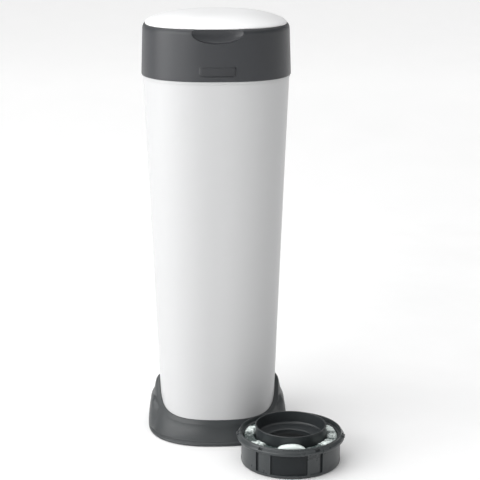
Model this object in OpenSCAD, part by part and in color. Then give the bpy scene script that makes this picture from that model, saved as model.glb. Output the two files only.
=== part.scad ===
// Free-standing nappy bin: a tapered tube on a flared foot, with a hinged top that carries
// a film cassette, and a domed lid. One refill cassette stands on the floor beside it.
// The origin is on the floor at the middle of the bin. +Z is up and the front faces -Y.

/* [Plan outline] */
// How square the rounded outline is: 2 is a circle, larger values are squarer
plan_power = 2.5; // [2.2:0.1:3]
// Facets around the outline, a multiple of 4
sides = 72; // [48:4:96]

/* [Refill cassette] */
// Radius of the cassette's body, which the width of the whole bin is worked out from
cup_r = 68; // [60:0.5:76]
// Height of the cassette's cup, floor to the bead on its rim
cup_h = 44; // [36:0.5:50]
// How far the bead on the rim stands out from the body
bead_out = 1.5; // [1:0.1:2]
// How far the rim's lip stands out from the body
lip_out = 5.4; // [4:0.1:7]
// Height of the rim, bead to the lip's lower edge
rim_h = 9.5; // [8:0.5:12]
// Wall of the cassette
cup_wall = 1.6; // [1.2:0.1:2]
// Height of the mouth tube above the bead
mouth_up = 8.6; // [4:0.1:12]
// Width of the film channel between the mouth and the body
channel_w = 16.6; // [14:0.1:20]
// Width of the ledge inside the mouth
neck_in = 15.6; // [10:0.1:20]
// Depth of the neck below the mouth's edge
neck_depth = 18; // [14:0.5:24]
// Depth of the sunk panels on the cup's side
panel_d = 0.9; // [0.5:0.1:1.1]
// Direction of the standing cassette, to the front from the bin's right
cassette_a = 57; // [0:0.5:90]
// Gap between the standing cassette and the foot
stand_gap = 2.5; // [2:0.1:60]
// Turn of the standing cassette
cassette_turn = -6; // [-180:1:180]

/* [Cassette seat] */
// Room round the cassette's lip in the seat
seat_room = 1.6; // [1:0.1:3]
// How much deeper the seat is than the cassette's cup
seat_spare = 4.5; // [3:0.1:8]
// Width of the deck between the seat and the opening's edge
deck_w = 16.3; // [14:0.1:22]
// Thickness of the deck, the seat's wall and its floor
tray_t = 2.4; // [2:0.1:3]
// Width of the step from the opening's edge in to the seat's floor plate
floor_step = 3.3; // [2:0.1:6]
// Width of the seat's floor between its wall and the throat
throat_in = 27; // [22:0.5:32]

/* [Top housing] */
// Height of the dark band, flange to rim
band_h = 68; // [60:1:84]
// Width of the rim round the opening
rim_w = 9.7; // [8.5:0.1:13]
// How far the band leans out towards its lower edge
band_lean = 2.1; // [1:0.1:4]
// Wall of the band
band_wall = 3; // [2.5:0.1:3.5]
// Height of the rounded top edge
band_edge_h = 7.5; // [6:0.5:9]
// How far the rounded top edge turns in
band_edge_in = 3.6; // [3:0.1:4.5]
// Depth of the tray's ledge below the rim
ledge_depth = 11; // [9:0.5:14]
// Width of that ledge
ledge_w = 3.8; // [3:0.1:5]

/* [Collar] */
// How far the band stands out over the flange
band_step = 1.3; // [0.8:0.1:2]
// How far the flange stands out over the tube
flange_step = 0.9; // [0.5:0.1:1.5]
// Thickness of the flange between tube and top
flange_t = 3.5; // [2.5:0.1:5]
// Height of the spigot that stands in the top
spigot_h = 7; // [5:0.5:9]
// Gap between the spigot and the band
spigot_gap = 2; // [1.5:0.1:2.5]
// Wall of the spigot and of the skirt inside the tube
spigot_wall = 2.4; // [2:0.1:3]
// Depth of the skirt inside the tube
skirt_h = 16; // [10:1:24]

/* [Tube] */
// Height of the tube's rim above the floor
tube_h = 511.5; // [440:0.5:580]
// How much narrower the tube's sides are where they would meet the floor than at the rim
tube_taper = 19.9; // [10:0.1:26]
// How far the sides curve in, halfway up
tube_sag = 0.6; // [0:0.1:2]
// Wall of the tube
tube_wall = 2.2; // [1.8:0.1:3]
// Floor of the tube
tube_floor_t = 2.5; // [2:0.1:4]

/* [Foot] */
// How far the foot spreads out from the tube near the floor
foot_spread = 20; // [17:0.5:28]
// Height of the rounded shoulder at the sides and back
shoulder_h = 46; // [40:1:56]
// Height of the foot's edge at the middle of the front
scoop_edge_h = 33; // [28:1:38]
// Height of the two wing tips
wing_h = 76; // [66:1:90]
// Thickness of the foot's plate under the tube
foot_plate_t = 3.5; // [3:0.1:5]
// Depth of the hollow between the ribs under the foot
foot_hollow_h = 8; // [5:0.5:9]
// Number of ribs under the foot
foot_ribs = 16; // [8:4:24]

/* [Floor mat] */
// Radius of the rubber mat under the foot
mat_r = 62; // [50:1:69]
// Thickness of the rubber mat
mat_t = 1.6; // [1:0.1:2]
// How far the mat stands proud of the foot
mat_proud = 0.6; // [0.4:0.1:0.8]

/* [Finger scoop] */
// Width of the scoop at the rim
scoop_w = 70; // [50:1:80]
// Height from the scoop's widest level to its lower end
scoop_h = 14.5; // [12:0.5:18]
// Depth of the scoop's widest level below the rim
scoop_down = 4; // [2:0.5:6]
// Depth of the scoop into the band
scoop_d = 8; // [6:0.1:8.2]
// Wall of the pocket behind the scoop
scoop_wall = 1.6; // [1.4:0.1:1.8]

/* [Release button] */
// Width of the button's face
button_w = 47; // [40:0.5:52]
// Height of the button's face
button_h = 10.5; // [9:0.5:12]
// Radius of the corners of its face
button_round = 2.4; // [1:0.1:4]
// Height of the button's lower edge above the spigot
button_over = 1.25; // [1:0.05:6]
// Press travel of the button
button_travel = 3.5; // [2.5:0.1:4]
// Outer radius of the return springs
spring_r = 2.6; // [2.2:0.1:3]
// Thickness of the springs' wire
spring_wire = 0.8; // [0.6:0.1:1]

/* [Grip petals] */
// Width of the petals' flange outside the throat
petal_flange_w = 9; // [8:0.5:11]
// Radius of the hole that the petals leave open
petal_hole_r = 22; // [16:1:28]
// Drop of the petals from flange to tip
petal_drop = 14; // [8:1:18]
// Thickness of the petals
petal_t = 1.4; // [1:0.1:2]
// Number of petals
petal_n = 12; // [6:1:18]
// Width of the slit between petals
slit_w = 1.2; // [0.8:0.1:2]

/* [Cutter] */
// Travel of the cutter along its rail
cutter_travel = 80; // [60:1:88]
// Distance from the petals' flange to the rail's middle line
rail_out = 10; // [9:0.5:12]
// Length of the blade
blade_l = 18; // [12:1:24]

/* [Lid] */
// How far the lid's edge lies in from the band's edge
lid_set_in = 4; // [2.5:0.1:5.5]
// Rise of the lid above the band's rim
lid_rise = 18; // [14:0.5:24]
// Wall of the lid
lid_wall = 2.5; // [2:0.1:3]
// Height of the lid's rounded edge
lid_edge_h = 4; // [3.5:0.1:6]
// Gap between the lid's liner and the opening's edge
liner_gap = 1.3; // [1:0.1:3]
// Thickness of the liner
liner_t = 2; // [1.6:0.1:2.2]
// Distance from the seat's wall to the middle of the lid's seal
seal_out = 4.1; // [3.5:0.1:4.6]
// Width of the lid's seal
seal_w = 3.8; // [3:0.1:4.2]

/* [Hinges] */
// Radius of the hinge barrels
barrel_r = 4.2; // [3.8:0.1:4.8]
// Radius of the hinge pins
pin_r = 1.75; // [1.5:0.05:2]
// Running clearance round the pins
pin_gap = 0.06; // [0.03:0.01:0.1]
// Length of the lid's hinge
lid_hinge_l = 72; // [60:1:84]
// Length of the top's hinge
top_hinge_l = 92; // [80:1:104]
// Width of the outer knuckles of each hinge
knuckle_w = 12; // [9:0.5:14]
// Width of the middle knuckle of the lid's hinge
lid_mid_w = 20; // [14:0.5:26]

/* [Fits] */
// Gap between parts that move past each other
run_gap = 0.4; // [0.3:0.05:0.6]
// Gap between parts that seat in each other
seat_gap = 0.3; // [0.2:0.05:0.4]
// Radius of the screws' shanks
screw_r = 1.5; // [1.2:0.05:1.8]
// Radius of the screws' heads
screw_head_r = 3.2; // [2.8:0.1:3.6]
// Height of the screws' heads
screw_head_h = 2; // [1.6:0.1:2.2]

/* [Hidden] */
$fn = 64;

DARK = [0.23, 0.24, 0.25];
WHITE = [0.94, 0.94, 0.94];
STEEL = [0.75, 0.76, 0.78];
SOFT = [0.15, 0.15, 0.16];
FILM = [0.85, 0.93, 0.9];

// Widths, from the cassette outwards. A "half" is half the width across the flats of the plan outline.
bead_r = cup_r + bead_out;
lip_r = cup_r + lip_out;
mouth_out = cup_r - 2 * cup_wall - channel_w;
mouth_r = mouth_out - cup_wall;
neck_r = mouth_r - neck_in;
seat_r = lip_r + seat_room;
top_open_half = seat_r + deck_w;
band_top_half = top_open_half + rim_w;
band_low_half = band_top_half + band_lean;
flange_half = band_low_half - band_step;
tube_rim_half = flange_half - flange_step;
tube_low_half = tube_rim_half - tube_taper;
foot_half = tube_low_half + foot_spread;
lid_half = band_top_half - lid_set_in;
liner_half = top_open_half - liner_gap;
tray_floor_half = top_open_half - floor_step;
throat_r = seat_r - throat_in;
petal_flange_r = throat_r + petal_flange_w;
rail_y = petal_flange_r + rail_out;
seal_r = seat_r + tray_t + seal_out;

// Levels, floor upwards
foot_low = mat_proud;
tube_low = foot_low + foot_plate_t;
tube_floor = tube_low + tube_floor_t;
band_low = tube_h + flange_t;
rim = band_low + band_h;
deck_low = rim - ledge_depth;
deck_top = deck_low + tray_t;
seat_depth = cup_h + seat_spare;
seat_floor = deck_top - seat_depth;
tray_low = seat_floor - tray_t;
lid_low = rim + seat_gap;
spigot_top = band_low + spigot_h;
button_z = spigot_top + button_over + button_h / 2;
mouth_h = cup_h + mouth_up;

// How far cutters reach past what they cut
cut_over = 1;

// Hinge axes, both along X at the back
top_hinge_y = flange_half + run_gap + barrel_r;
top_hinge_z = band_low;
lid_hinge_y = band_top_half + 0.5;
lid_hinge_z = rim - 2.5;

// ---- Plan outline -------------------------------------------------------------------

// Distance from the middle to the outline, for a half-width of 1, in the direction a
function reach(a) = pow(pow(abs(cos(a)), plan_power) + pow(abs(sin(a)), plan_power), -1 / plan_power);
// How far the outline lies from the middle line at x, for the half-width half
function front_of(half, x) = half * pow(1 - pow(abs(x) / half, plan_power), 1 / plan_power);

plan = [for (i = [0:sides - 1]) let (a = 360 * i / sides) reach(a) * [cos(a), sin(a)]];

// Walls between ring i and the next one, each ring with one point for each side
function ring_walls(rings, closed) = [
    for (i = [0:rings - (closed ? 1 : 2)]) for (j = [0:sides - 1])
        let (k = (i + 1) % rings, m = (j + 1) % sides)
        each [
            [i * sides + j, k * sides + j, k * sides + m],
            [i * sides + j, k * sides + m, i * sides + m]
        ]
];

// Faces that close the first ring below and the last ring above
function ring_ends(rings) = [
    [for (j = [0:sides - 1]) j],
    [for (j = [sides - 1:-1:0]) (rings - 1) * sides + j]
];

// A profile of [half-width, height] points carried round the plan outline. It runs up the outside
// and down the inside. A ring is open in the middle, and otherwise both ends are closed over.
module round_plan(profile, ring = true) {
    points = [for (p = profile) for (u = plan) [p[0] * u[0], p[0] * u[1], p[1]]];
    faces = concat(ring_walls(len(profile), ring), ring ? [] : ring_ends(len(profile)));
    polyhedron(points, faces, convexity = 8);
}

// A flat plate of the plan outline
module plan_plate(half, low, high) {
    translate([0, 0, low]) linear_extrude(high - low) polygon(half * plan);
}

// A flat ring
module ring_plate(inner, outer, low, high) {
    translate([0, 0, low]) difference() {
        cylinder(r = outer, h = high - low);
        bore(inner, 0, high - low);
    }
}

// A cylinder along X, centred on x, at the height z
module bar_x(r, x, l, y, z) {
    translate([x, y, z]) rotate([0, 90, 0]) cylinder(r = r, h = l, center = true);
}

// An upright cutter for a hole between two heights, a little longer at both ends
module bore(r, low, high) {
    translate([0, 0, low - cut_over]) cylinder(r = r, h = high - low + 2 * cut_over);
}

// The children at x and at -x
module both_sides(x) {
    for (s = [-1, 1]) translate([s * x, 0, 0]) children();
}

// Copies of the children, n of them round a circle of radius r
module around(n, r) {
    for (i = [0:n - 1]) rotate(360 * (i + 0.5) / n) translate([r, 0, 0]) children();
}

// The four corners where the screws of a lid, tray or foot stand
module corners(r) {
    around(4, r) children();
}

// A pan-head screw that points up from the height z, its head below
module screw_up(z, l) {
    translate([0, 0, z - screw_head_h]) cylinder(r = screw_head_r, h = screw_head_h);
    translate([0, 0, z]) cylinder(r = screw_r, h = l);
}

// A rounded rectangle on the XZ plane, drawn from y = from to y = to
module face_block(w, h, r, z, from, to) {
    translate([0, to, z]) rotate([90, 0, 0]) linear_extrude(to - from) union() {
        square([w - 2 * r, h], center = true);
        square([w, h - 2 * r], center = true);
        for (x = [-1, 1], y = [-1, 1]) translate([x * (w / 2 - r), y * (h / 2 - r)]) circle(r);
    }
}

// Half-width of the tube at the height z
function tube_half(z) =
    let (t = z / tube_h)
    tube_low_half + (tube_rim_half - tube_low_half) * t - 4 * tube_sag * t * (1 - t);

// ---- Foot ---------------------------------------------------------------------------

wing_a = 90;
wing_back_a = 20;
rim_t = 0.9;
ledge_h = 6;
back_lip_h = 2;
flare = 15;
ring_lean = 3.4;
ring_lean_h = 34;
ring_round = 12;
ring_round_in = 9;
shoulder_from_a = 52;
shoulder_a = 26;
full_from_a = 35;
full_a = 45;

// Angle from the front, 0 to 180
function from_front(i) = let (a = 360 * i / sides) abs(((a + 90 + 180) % 360) - 180);

// Runs smoothly from 0 to 1 while t does
function ease(t) = let (c = min(1, max(0, t))) c * c * (3 - 2 * c);

// Height of the foot's upper edge at the angle f from the front
function foot_edge(f) =
    let (back = shoulder_h + back_lip_h)
    f <= wing_a ? scoop_edge_h + (wing_h - scoop_edge_h) * pow(f / wing_a, 5)
    : back + (wing_h - back) * pow(max(0, 1 - (f - wing_a) / wing_back_a), 1.6);

// Height of the outer ring: a low ledge at the front that swells to the shoulder
function ring_top(f) = ledge_h + (shoulder_h - ledge_h) * ease((f - shoulder_from_a) / shoulder_a);

// Half-width of the outer ring at the height z and the angle f
function ring_half(z, f) =
    let (
        top = ring_top(f),
        round = min(ring_round, 0.7 * top),
        s = min(1, max(0, (z - top + round) / round))
    )
    foot_half - ring_lean * pow(min(z, ring_lean_h) / ring_lean_h, 2)
        - ring_round_in * (1 - sqrt(1 - s * s));

// Half-width of the skirt that sweeps up to the tube, hollow at the front and full at the wings
function skirt_half(z, f) =
    let (t = min(1, max(0, (z - ledge_h) / (foot_edge(f) - ledge_h))))
    tube_half(z) + rim_t + flare * pow(1 - t, 2.3 - 1.55 * ease((f - full_from_a) / full_a));

ring_rows = [0, 0.35, 0.62, 0.8, 0.92, 1];
skirt_rows = [0.03, 0.16, 0.3, 0.45, 0.62, 0.8, 0.93, 1];

// Heights of the skin's rows at the angle f: up the ring, then up the skirt
function skin_levels(f) = concat(
    [for (t = ring_rows) foot_low + t * (ring_top(f) - foot_low)],
    [for (t = skirt_rows) ring_top(f) + t * (foot_edge(f) - ring_top(f))]
);

module base_foot_solid() {
    outer_rings = len(ring_rows) + len(skirt_rows);
    outside = [
        for (row = [0:outer_rings - 1]) for (i = [0:sides - 1])
            let (
                f = from_front(i),
                z = skin_levels(f)[row],
                h = max(skirt_half(z, f), row < len(ring_rows) ? ring_half(z, f) : 0)
            )
            [h * plan[i][0], h * plan[i][1], z]
    ];
    inside = [
        for (t = [1, 0]) for (i = [0:sides - 1])
            let (
                z = tube_low + t * (foot_edge(from_front(i)) - tube_low),
                h = tube_half(z) + seat_gap
            )
            [h * plan[i][0], h * plan[i][1], z]
    ];
    rings = outer_rings + 2;
    polyhedron(concat(outside, inside), concat(ring_walls(rings, false), ring_ends(rings)), convexity = 8);
}

foot_screw_in = 10.8;
foot_screw_r = reach(45) * tube_low_half - foot_screw_in;
rib_t = 1.8;

module base_foot() {
    color(DARK) difference() {
        base_foot_solid();
        // Hollow between the skin and the tube, with ribs left across it
        difference() {
            round_plan([
                [foot_half - 3, foot_low - cut_over], [foot_half - 3, foot_low + 1],
                [foot_half - 11, foot_low + foot_hollow_h], [tube_low_half + 5, foot_low + foot_hollow_h],
                [tube_low_half + 4, foot_low - cut_over]
            ]);
            around(foot_ribs, tube_low_half - 10) translate([0, -rib_t / 2, foot_low - 2])
                cube([foot_spread + 30, rib_t, foot_hollow_h + 4]);
        }
        // Recess for the mat
        translate([0, 0, foot_low - cut_over])
            cylinder(r = mat_r + seat_gap, h = cut_over + mat_t - mat_proud);
        corners(foot_screw_r) {
            translate([0, 0, foot_low - cut_over])
                cylinder(r = screw_head_r + seat_gap, h = cut_over + screw_head_h);
            bore(screw_r + seat_gap, foot_low, tube_low);
        }
    }
}

module floor_mat() {
    color(SOFT) cylinder(r = mat_r, h = mat_t);
}

boss_h = 11;
boss_r = 4.2;

module base_screws() {
    color(STEEL) corners(foot_screw_r)
        screw_up(foot_low + screw_head_h, foot_plate_t + boss_h - screw_head_h);
}

// ---- Tube ---------------------------------------------------------------------------

tube_rows = 3;

module body_tube() {
    low_round = 3;
    outside = [
        for (i = [0:tube_rows])
            let (z = tube_low + low_round + (tube_h - tube_low - low_round) * i / tube_rows)
            [tube_half(z), z]
    ];
    inside = [
        for (i = [tube_rows:-1:0])
            let (z = tube_floor + low_round + (tube_h - tube_floor - low_round) * i / tube_rows)
            [tube_half(z) - tube_wall, z]
    ];
    color(WHITE) difference() {
        union() {
            round_plan(concat(
                [[tube_half(tube_low) - low_round, tube_low]],
                outside,
                inside,
                [[tube_half(tube_floor) - tube_wall - low_round, tube_floor]]
            ), ring = false);
            corners(foot_screw_r) translate([0, 0, tube_floor - cut_over])
                cylinder(r = boss_r, h = boss_h + cut_over - tube_floor_t);
        }
        corners(foot_screw_r) translate([0, 0, tube_low - cut_over])
            cylinder(r = screw_r + pin_gap, h = boss_h + cut_over + seat_gap);
    }
}

// ---- Collar -------------------------------------------------------------------------

spigot_half = band_low_half - band_wall - spigot_gap;
mid_knuckle_w = top_hinge_l - 4 * knuckle_w - 4 * run_gap;
collar_knuckle_x = mid_knuckle_w / 2 + run_gap + knuckle_w / 2;
knuckle_root_in = 2;

module top_collar() {
    skirt_low = tube_h - skirt_h;
    skirt_half = tube_half(skirt_low) - tube_wall - seat_gap;
    skirt_top_half = tube_half(tube_h) - tube_wall - seat_gap;
    color(WHITE) difference() {
        union() {
            round_plan([
                [skirt_half, skirt_low], [skirt_top_half, tube_h], [flange_half, tube_h],
                [flange_half, band_low], [spigot_half, band_low], [spigot_half, spigot_top],
                [spigot_half - spigot_wall, spigot_top], [skirt_half - spigot_wall, tube_h],
                [skirt_half - spigot_wall, skirt_low]
            ]);
            for (s = [-1, 1]) collar_knuckle(s * collar_knuckle_x);
        }
        bar_x(pin_r + pin_gap, 0, top_hinge_l, top_hinge_y, top_hinge_z);
        // Window that the button's nose catches under
        translate([-catch_w / 2 - catch_room, -spigot_half - cut_over, catch_low - catch_room])
            cube([catch_w + 2 * catch_room, spigot_wall + 2 * cut_over, catch_h + 2 * catch_room]);
    }
}

module collar_knuckle(x) {
    root_y = front_of(flange_half - knuckle_root_in, abs(x) + knuckle_w / 2);
    bar_x(barrel_r, x, knuckle_w, top_hinge_y, top_hinge_z);
    translate([x - knuckle_w / 2, root_y, tube_h]) cube([knuckle_w, top_hinge_y - root_y, flange_t]);
}

module top_hinge_pin() {
    color(STEEL) bar_x(pin_r, 0, top_hinge_l, top_hinge_y, top_hinge_z);
}

// ---- Top housing --------------------------------------------------------------------

tray_boss_r = 4.5;
tray_boss_lap = 0.7;
tray_screw_r = reach(45) * (top_open_half - ledge_w) - tray_boss_r + tray_boss_lap;
tray_boss_h = 12;
ledge_t = 2.4;

// Half-width of the band's outside at the height h above its lower edge
function band_half(h) =
    let (s = max(0, h - (band_h - band_edge_h)) / band_edge_h)
    band_low_half + (band_top_half - band_low_half) * min(1, h / (band_h - band_edge_h))
        - band_edge_in * (1 - sqrt(max(0, 1 - s * s)));

edge_steps = [0, 0.35, 0.6, 0.8, 0.93, 1];
inner_round_h = 8;
rim_plate_t = 2.6;
rim_wall = 2.4;
inner_round_in = 1.4;

// Half-width of the band's inside at the height h above its lower edge
function band_inner(h) =
    band_low_half - band_wall + (band_top_half - band_low_half) * h / (band_h - inner_round_h);

module top_housing_shell() {
    edge_low = band_h - band_edge_h;
    inner_top = band_top_half - band_wall;
    round_plan(concat(
        [[band_half(0), band_low], [band_half(band_h / 3), band_low + band_h / 3]],
        [for (s = edge_steps) let (h = edge_low + s * band_edge_h) [band_half(h), band_low + h]],
        [
            [top_open_half, rim], [top_open_half, deck_low], [top_open_half - ledge_w, deck_low],
            [top_open_half - ledge_w, deck_low - ledge_t], [top_open_half + rim_wall, deck_low - ledge_t],
            [top_open_half + rim_wall, rim - rim_plate_t], [inner_top - inner_round_in, rim - rim_plate_t],
            [inner_top, rim - inner_round_h], [band_low_half - band_wall, band_low]
        ]
    ));
}

scoop_turns = 32;
scoop_rings = 10;
pocket_in = 1.5;
pocket_edge = 5;

// A lens-shaped solid that is grown on all sides, centred on the band's front near the rim
module scoop_form(grow) {
    half = [scoop_w / 2 + grow, scoop_d + grow, scoop_h + grow];
    points = concat(
        [[0, 0, -half[2]]],
        [for (i = [1:scoop_rings - 1]) for (j = [0:scoop_turns - 1])
            let (b = -90 + 180 * i / scoop_rings, a = 360 * j / scoop_turns, c = cos(b) * reach(a))
            [half[0] * c * cos(a), half[1] * c * sin(a), half[2] * sin(b)]],
        [[0, 0, half[2]]]
    );
    last = len(points) - 1;
    top_ring = 1 + (scoop_rings - 2) * scoop_turns;
    faces = concat(
        [for (j = [0:scoop_turns - 1]) [0, 1 + j, 1 + (j + 1) % scoop_turns]],
        [for (i = [0:scoop_rings - 3]) for (j = [0:scoop_turns - 1])
            let (p = 1 + i * scoop_turns, q = p + scoop_turns, m = (j + 1) % scoop_turns)
            each [[p + j, q + j, q + m], [p + j, q + m, p + m]]],
        [for (j = [0:scoop_turns - 1]) [top_ring + j, last, top_ring + (j + 1) % scoop_turns]]
    );
    translate([0, -band_half(band_h - scoop_down), rim - scoop_down])
        polyhedron(points, faces, convexity = 4);
}

// The wall behind the scoop, kept inside the band
module scoop_pocket() {
    half = band_top_half - pocket_in;
    low = rim - scoop_down - scoop_h - pocket_edge;
    intersection() {
        scoop_form(scoop_wall);
        round_plan(
            [[half, low], [half, rim - pocket_edge], [band_top_half - pocket_edge, rim - 1]],
            ring = false
        );
    }
}

lid_knuckle_w = (lid_hinge_l - 2 * knuckle_w - lid_mid_w - 4 * run_gap) / 2;
lid_knuckle_x = (lid_mid_w + lid_knuckle_w) / 2 + run_gap;

module top_housing() {
    color(DARK) difference() {
        union() {
            top_housing_shell();
            scoop_pocket();
            // Bosses for the tray's screws
            corners(tray_screw_r) translate([0, 0, deck_low - tray_boss_h])
                cylinder(r = tray_boss_r, h = tray_boss_h);
            // Knuckles of the hinge to the collar, and of the lid's hinge
            band_knuckle(0, mid_knuckle_w, top_hinge_y, top_hinge_z, 1);
            band_knuckle(0, lid_mid_w, lid_hinge_y, lid_hinge_z, -1);
            for (s = [-1, 1]) {
                band_knuckle(s * (top_hinge_l - knuckle_w) / 2, knuckle_w, top_hinge_y, top_hinge_z, 1);
                band_knuckle(s * (lid_hinge_l - knuckle_w) / 2, knuckle_w, lid_hinge_y, lid_hinge_z, -1);
            }
        }
        scoop_form(0);
        bar_x(pin_r + pin_gap, 0, top_hinge_l + 1, top_hinge_y, top_hinge_z);
        bar_x(pin_r + pin_gap, 0, lid_hinge_l + 1, lid_hinge_y, lid_hinge_z);
        // Room for the collar's and the lid's knuckles
        both_sides(collar_knuckle_x)
            bar_x(barrel_r + run_gap, 0, knuckle_w + 2 * run_gap, top_hinge_y, top_hinge_z);
        both_sides(lid_knuckle_x)
            bar_x(barrel_r + run_gap, 0, lid_knuckle_w + 2 * run_gap, lid_hinge_y, lid_hinge_z);
        corners(tray_screw_r) bore(screw_r + pin_gap, deck_low - tray_boss_h, deck_low);
        // Window for the button
        face_block(button_w + 2 * run_gap, button_h + 2 * run_gap, button_round + run_gap, button_z,
            -band_low_half - 2, -band_low_half + band_wall + 3);
    }
}

web_root_in = 12;
web_wall_in = 0.6;
web_up = 2 * barrel_r;
web_down = 1.6 * barrel_r;

// A hinge barrel with the web that ties it to the band, above the axis (side 1) or below it (side -1)
module band_knuckle(x, w, y, z, side) {
    root_y = band_top_half - web_root_in;
    tip_y = y + (side > 0 ? barrel_r / 2 : 0);
    bar_x(barrel_r, x, w, y, z);
    difference() {
        translate([x - w / 2, root_y, side > 0 ? z : z - web_down])
            cube([w, tip_y - root_y, side > 0 ? web_up : web_down]);
        plan_plate(band_low_half - band_wall + web_wall_in, band_low - 1, rim + 1);
    }
}

// ---- Tray and throat ----------------------------------------------------------------

rail_w = 9;
rail_h = 7;
lip_t = 2;

module cassette_tray() {
    color(DARK) difference() {
        union() {
            plan_plate(top_open_half - seat_gap, deck_low, deck_top);
            translate([0, 0, tray_low]) cylinder(r = seat_r + tray_t, h = deck_top - tray_low);
            plan_plate(tray_floor_half, tray_low, seat_floor);
            // Flat seats for the button's springs
            for (s = [-1, 1]) translate([s * spring_x - spring_seat_w / 2, spring_seat_y, tray_low])
                cube([spring_seat_w, spring_seat_w, button_z + spring_r + 1 - tray_low]);
        }
        translate([0, 0, seat_floor]) cylinder(r = seat_r, h = seat_depth + 1);
        bore(throat_r, tray_low, seat_floor);
        corners(tray_screw_r) bore(screw_r + seat_gap, deck_low, deck_top);
        around(ring_screw_n, ring_screw_r) bore(screw_r + pin_gap, tray_low, seat_floor);
        both_sides(rail_screw_x) translate([0, rail_y, 0]) bore(screw_r + pin_gap, tray_low, seat_floor);
    }
}

module tray_screws() {
    color(STEEL) corners(tray_screw_r) {
        translate([0, 0, deck_top]) cylinder(r = screw_head_r, h = screw_head_h);
        translate([0, 0, deck_top - tray_boss_h]) cylinder(r = screw_r, h = tray_boss_h);
    }
}

ring_t = 3;
ring_w = 8;
ring_screw_r = petal_flange_r - ring_w / 2;
ring_screw_n = 6;
petal_low = tray_low - petal_t;

module grip_petals() {
    color(SOFT) difference() {
        rotate_extrude() polygon([
            [petal_flange_r, petal_low], [petal_flange_r, tray_low], [throat_r - 2, tray_low],
            [petal_hole_r, tray_low - petal_drop], [petal_hole_r, petal_low - petal_drop],
            [throat_r - 2, petal_low]
        ]);
        for (i = [0:petal_n - 1]) rotate(360 * i / petal_n)
            translate([petal_hole_r - 4, -slit_w / 2, petal_low - petal_drop - 2])
                cube([throat_r - petal_hole_r - 2, slit_w, petal_drop + 6]);
        around(ring_screw_n, ring_screw_r) bore(screw_r + seat_gap, petal_low, tray_low);
    }
}

module petal_ring() {
    color(DARK) difference() {
        ring_plate(petal_flange_r - ring_w, petal_flange_r, petal_low - ring_t, petal_low);
        around(ring_screw_n, ring_screw_r) bore(screw_r + seat_gap, petal_low - ring_t, petal_low);
    }
}

module ring_screws() {
    color(STEEL) around(ring_screw_n, ring_screw_r)
        screw_up(petal_low - ring_t, ring_t + petal_t + tray_t);
}

// ---- Cutter -------------------------------------------------------------------------

slider_l = 18;
rail_pad = 10;
rail_spare = 3;
rail_l = cutter_travel + slider_l + 2 * (rail_pad + rail_spare);
rail_screw_x = (rail_l - rail_pad) / 2;
rail_low = tray_low - rail_h;
rail_neck = 4;
slider_w = rail_w + 6;
arm_w = 10;
blade_t = 0.6;
arm_t = 3;
slider_low = petal_low - petal_drop - run_gap - blade_t - arm_t;
slider_high = tray_low - 2;
arm_tip_y = 14;

// An upside-down T: the slider holds on to its wide lower edge
module cutter_rail() {
    color(DARK) difference() {
        union() {
            translate([-rail_l / 2, rail_y - rail_neck / 2, rail_low + 1])
                cube([rail_l, rail_neck, rail_h - 1]);
            translate([-rail_l / 2, rail_y - rail_w / 2, rail_low]) cube([rail_l, rail_w, lip_t]);
            both_sides(rail_screw_x) translate([-rail_pad / 2, rail_y - rail_w / 2, rail_low])
                cube([rail_pad, rail_w, rail_h]);
        }
        both_sides(rail_screw_x) translate([0, rail_y, 0]) bore(screw_r + seat_gap, rail_low, tray_low);
    }
}

module rail_screws() {
    color(STEEL) both_sides(rail_screw_x) translate([0, rail_y, 0]) screw_up(rail_low, rail_h + tray_t);
}

module cutter_slider() {
    start_x = -cutter_travel / 2;
    rail_gap = lip_t + 2 * run_gap;
    color([0.8, 0.35, 0.2]) difference() {
        union() {
            translate([start_x - slider_l / 2, rail_y - slider_w / 2, slider_low])
                cube([slider_l, slider_w, slider_high - slider_low]);
            translate([start_x - arm_w / 2, arm_tip_y, slider_low])
                cube([arm_w, rail_y - arm_tip_y, arm_t]);
            translate([start_x, arm_tip_y, slider_low]) cylinder(r = arm_w / 2, h = arm_t);
        }
        // Slot for the rail
        translate([start_x - slider_l, rail_y - rail_w / 2 - run_gap, rail_low - run_gap])
            cube([2 * slider_l, rail_w + 2 * run_gap, rail_gap]);
        translate([start_x - slider_l, rail_y - rail_neck / 2 - run_gap, rail_low])
            cube([2 * slider_l, rail_neck + 2 * run_gap, rail_h + 2 * cut_over]);
    }
}

module cutter_blade() {
    color(STEEL) translate([-cutter_travel / 2, arm_tip_y + 2, slider_low + arm_t]) linear_extrude(blade_t)
        polygon([[-4, 0], [4, 0], [4, blade_l], [0, blade_l - 4], [-4, blade_l]]);
}

// ---- Release button -----------------------------------------------------------------

catch_w = 20;
catch_h = 2;
catch_room = 0.8;
flange_wall = 2;
catch_low = band_low + 1.6;
flange_side = 3;
flange_high = button_z + button_h / 2 + flange_side;
button_back = -front_of(band_inner(flange_high - band_low), button_w / 2 + flange_side) + run_gap;
arm_front = -(spigot_half - spigot_wall) + seat_gap;

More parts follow.
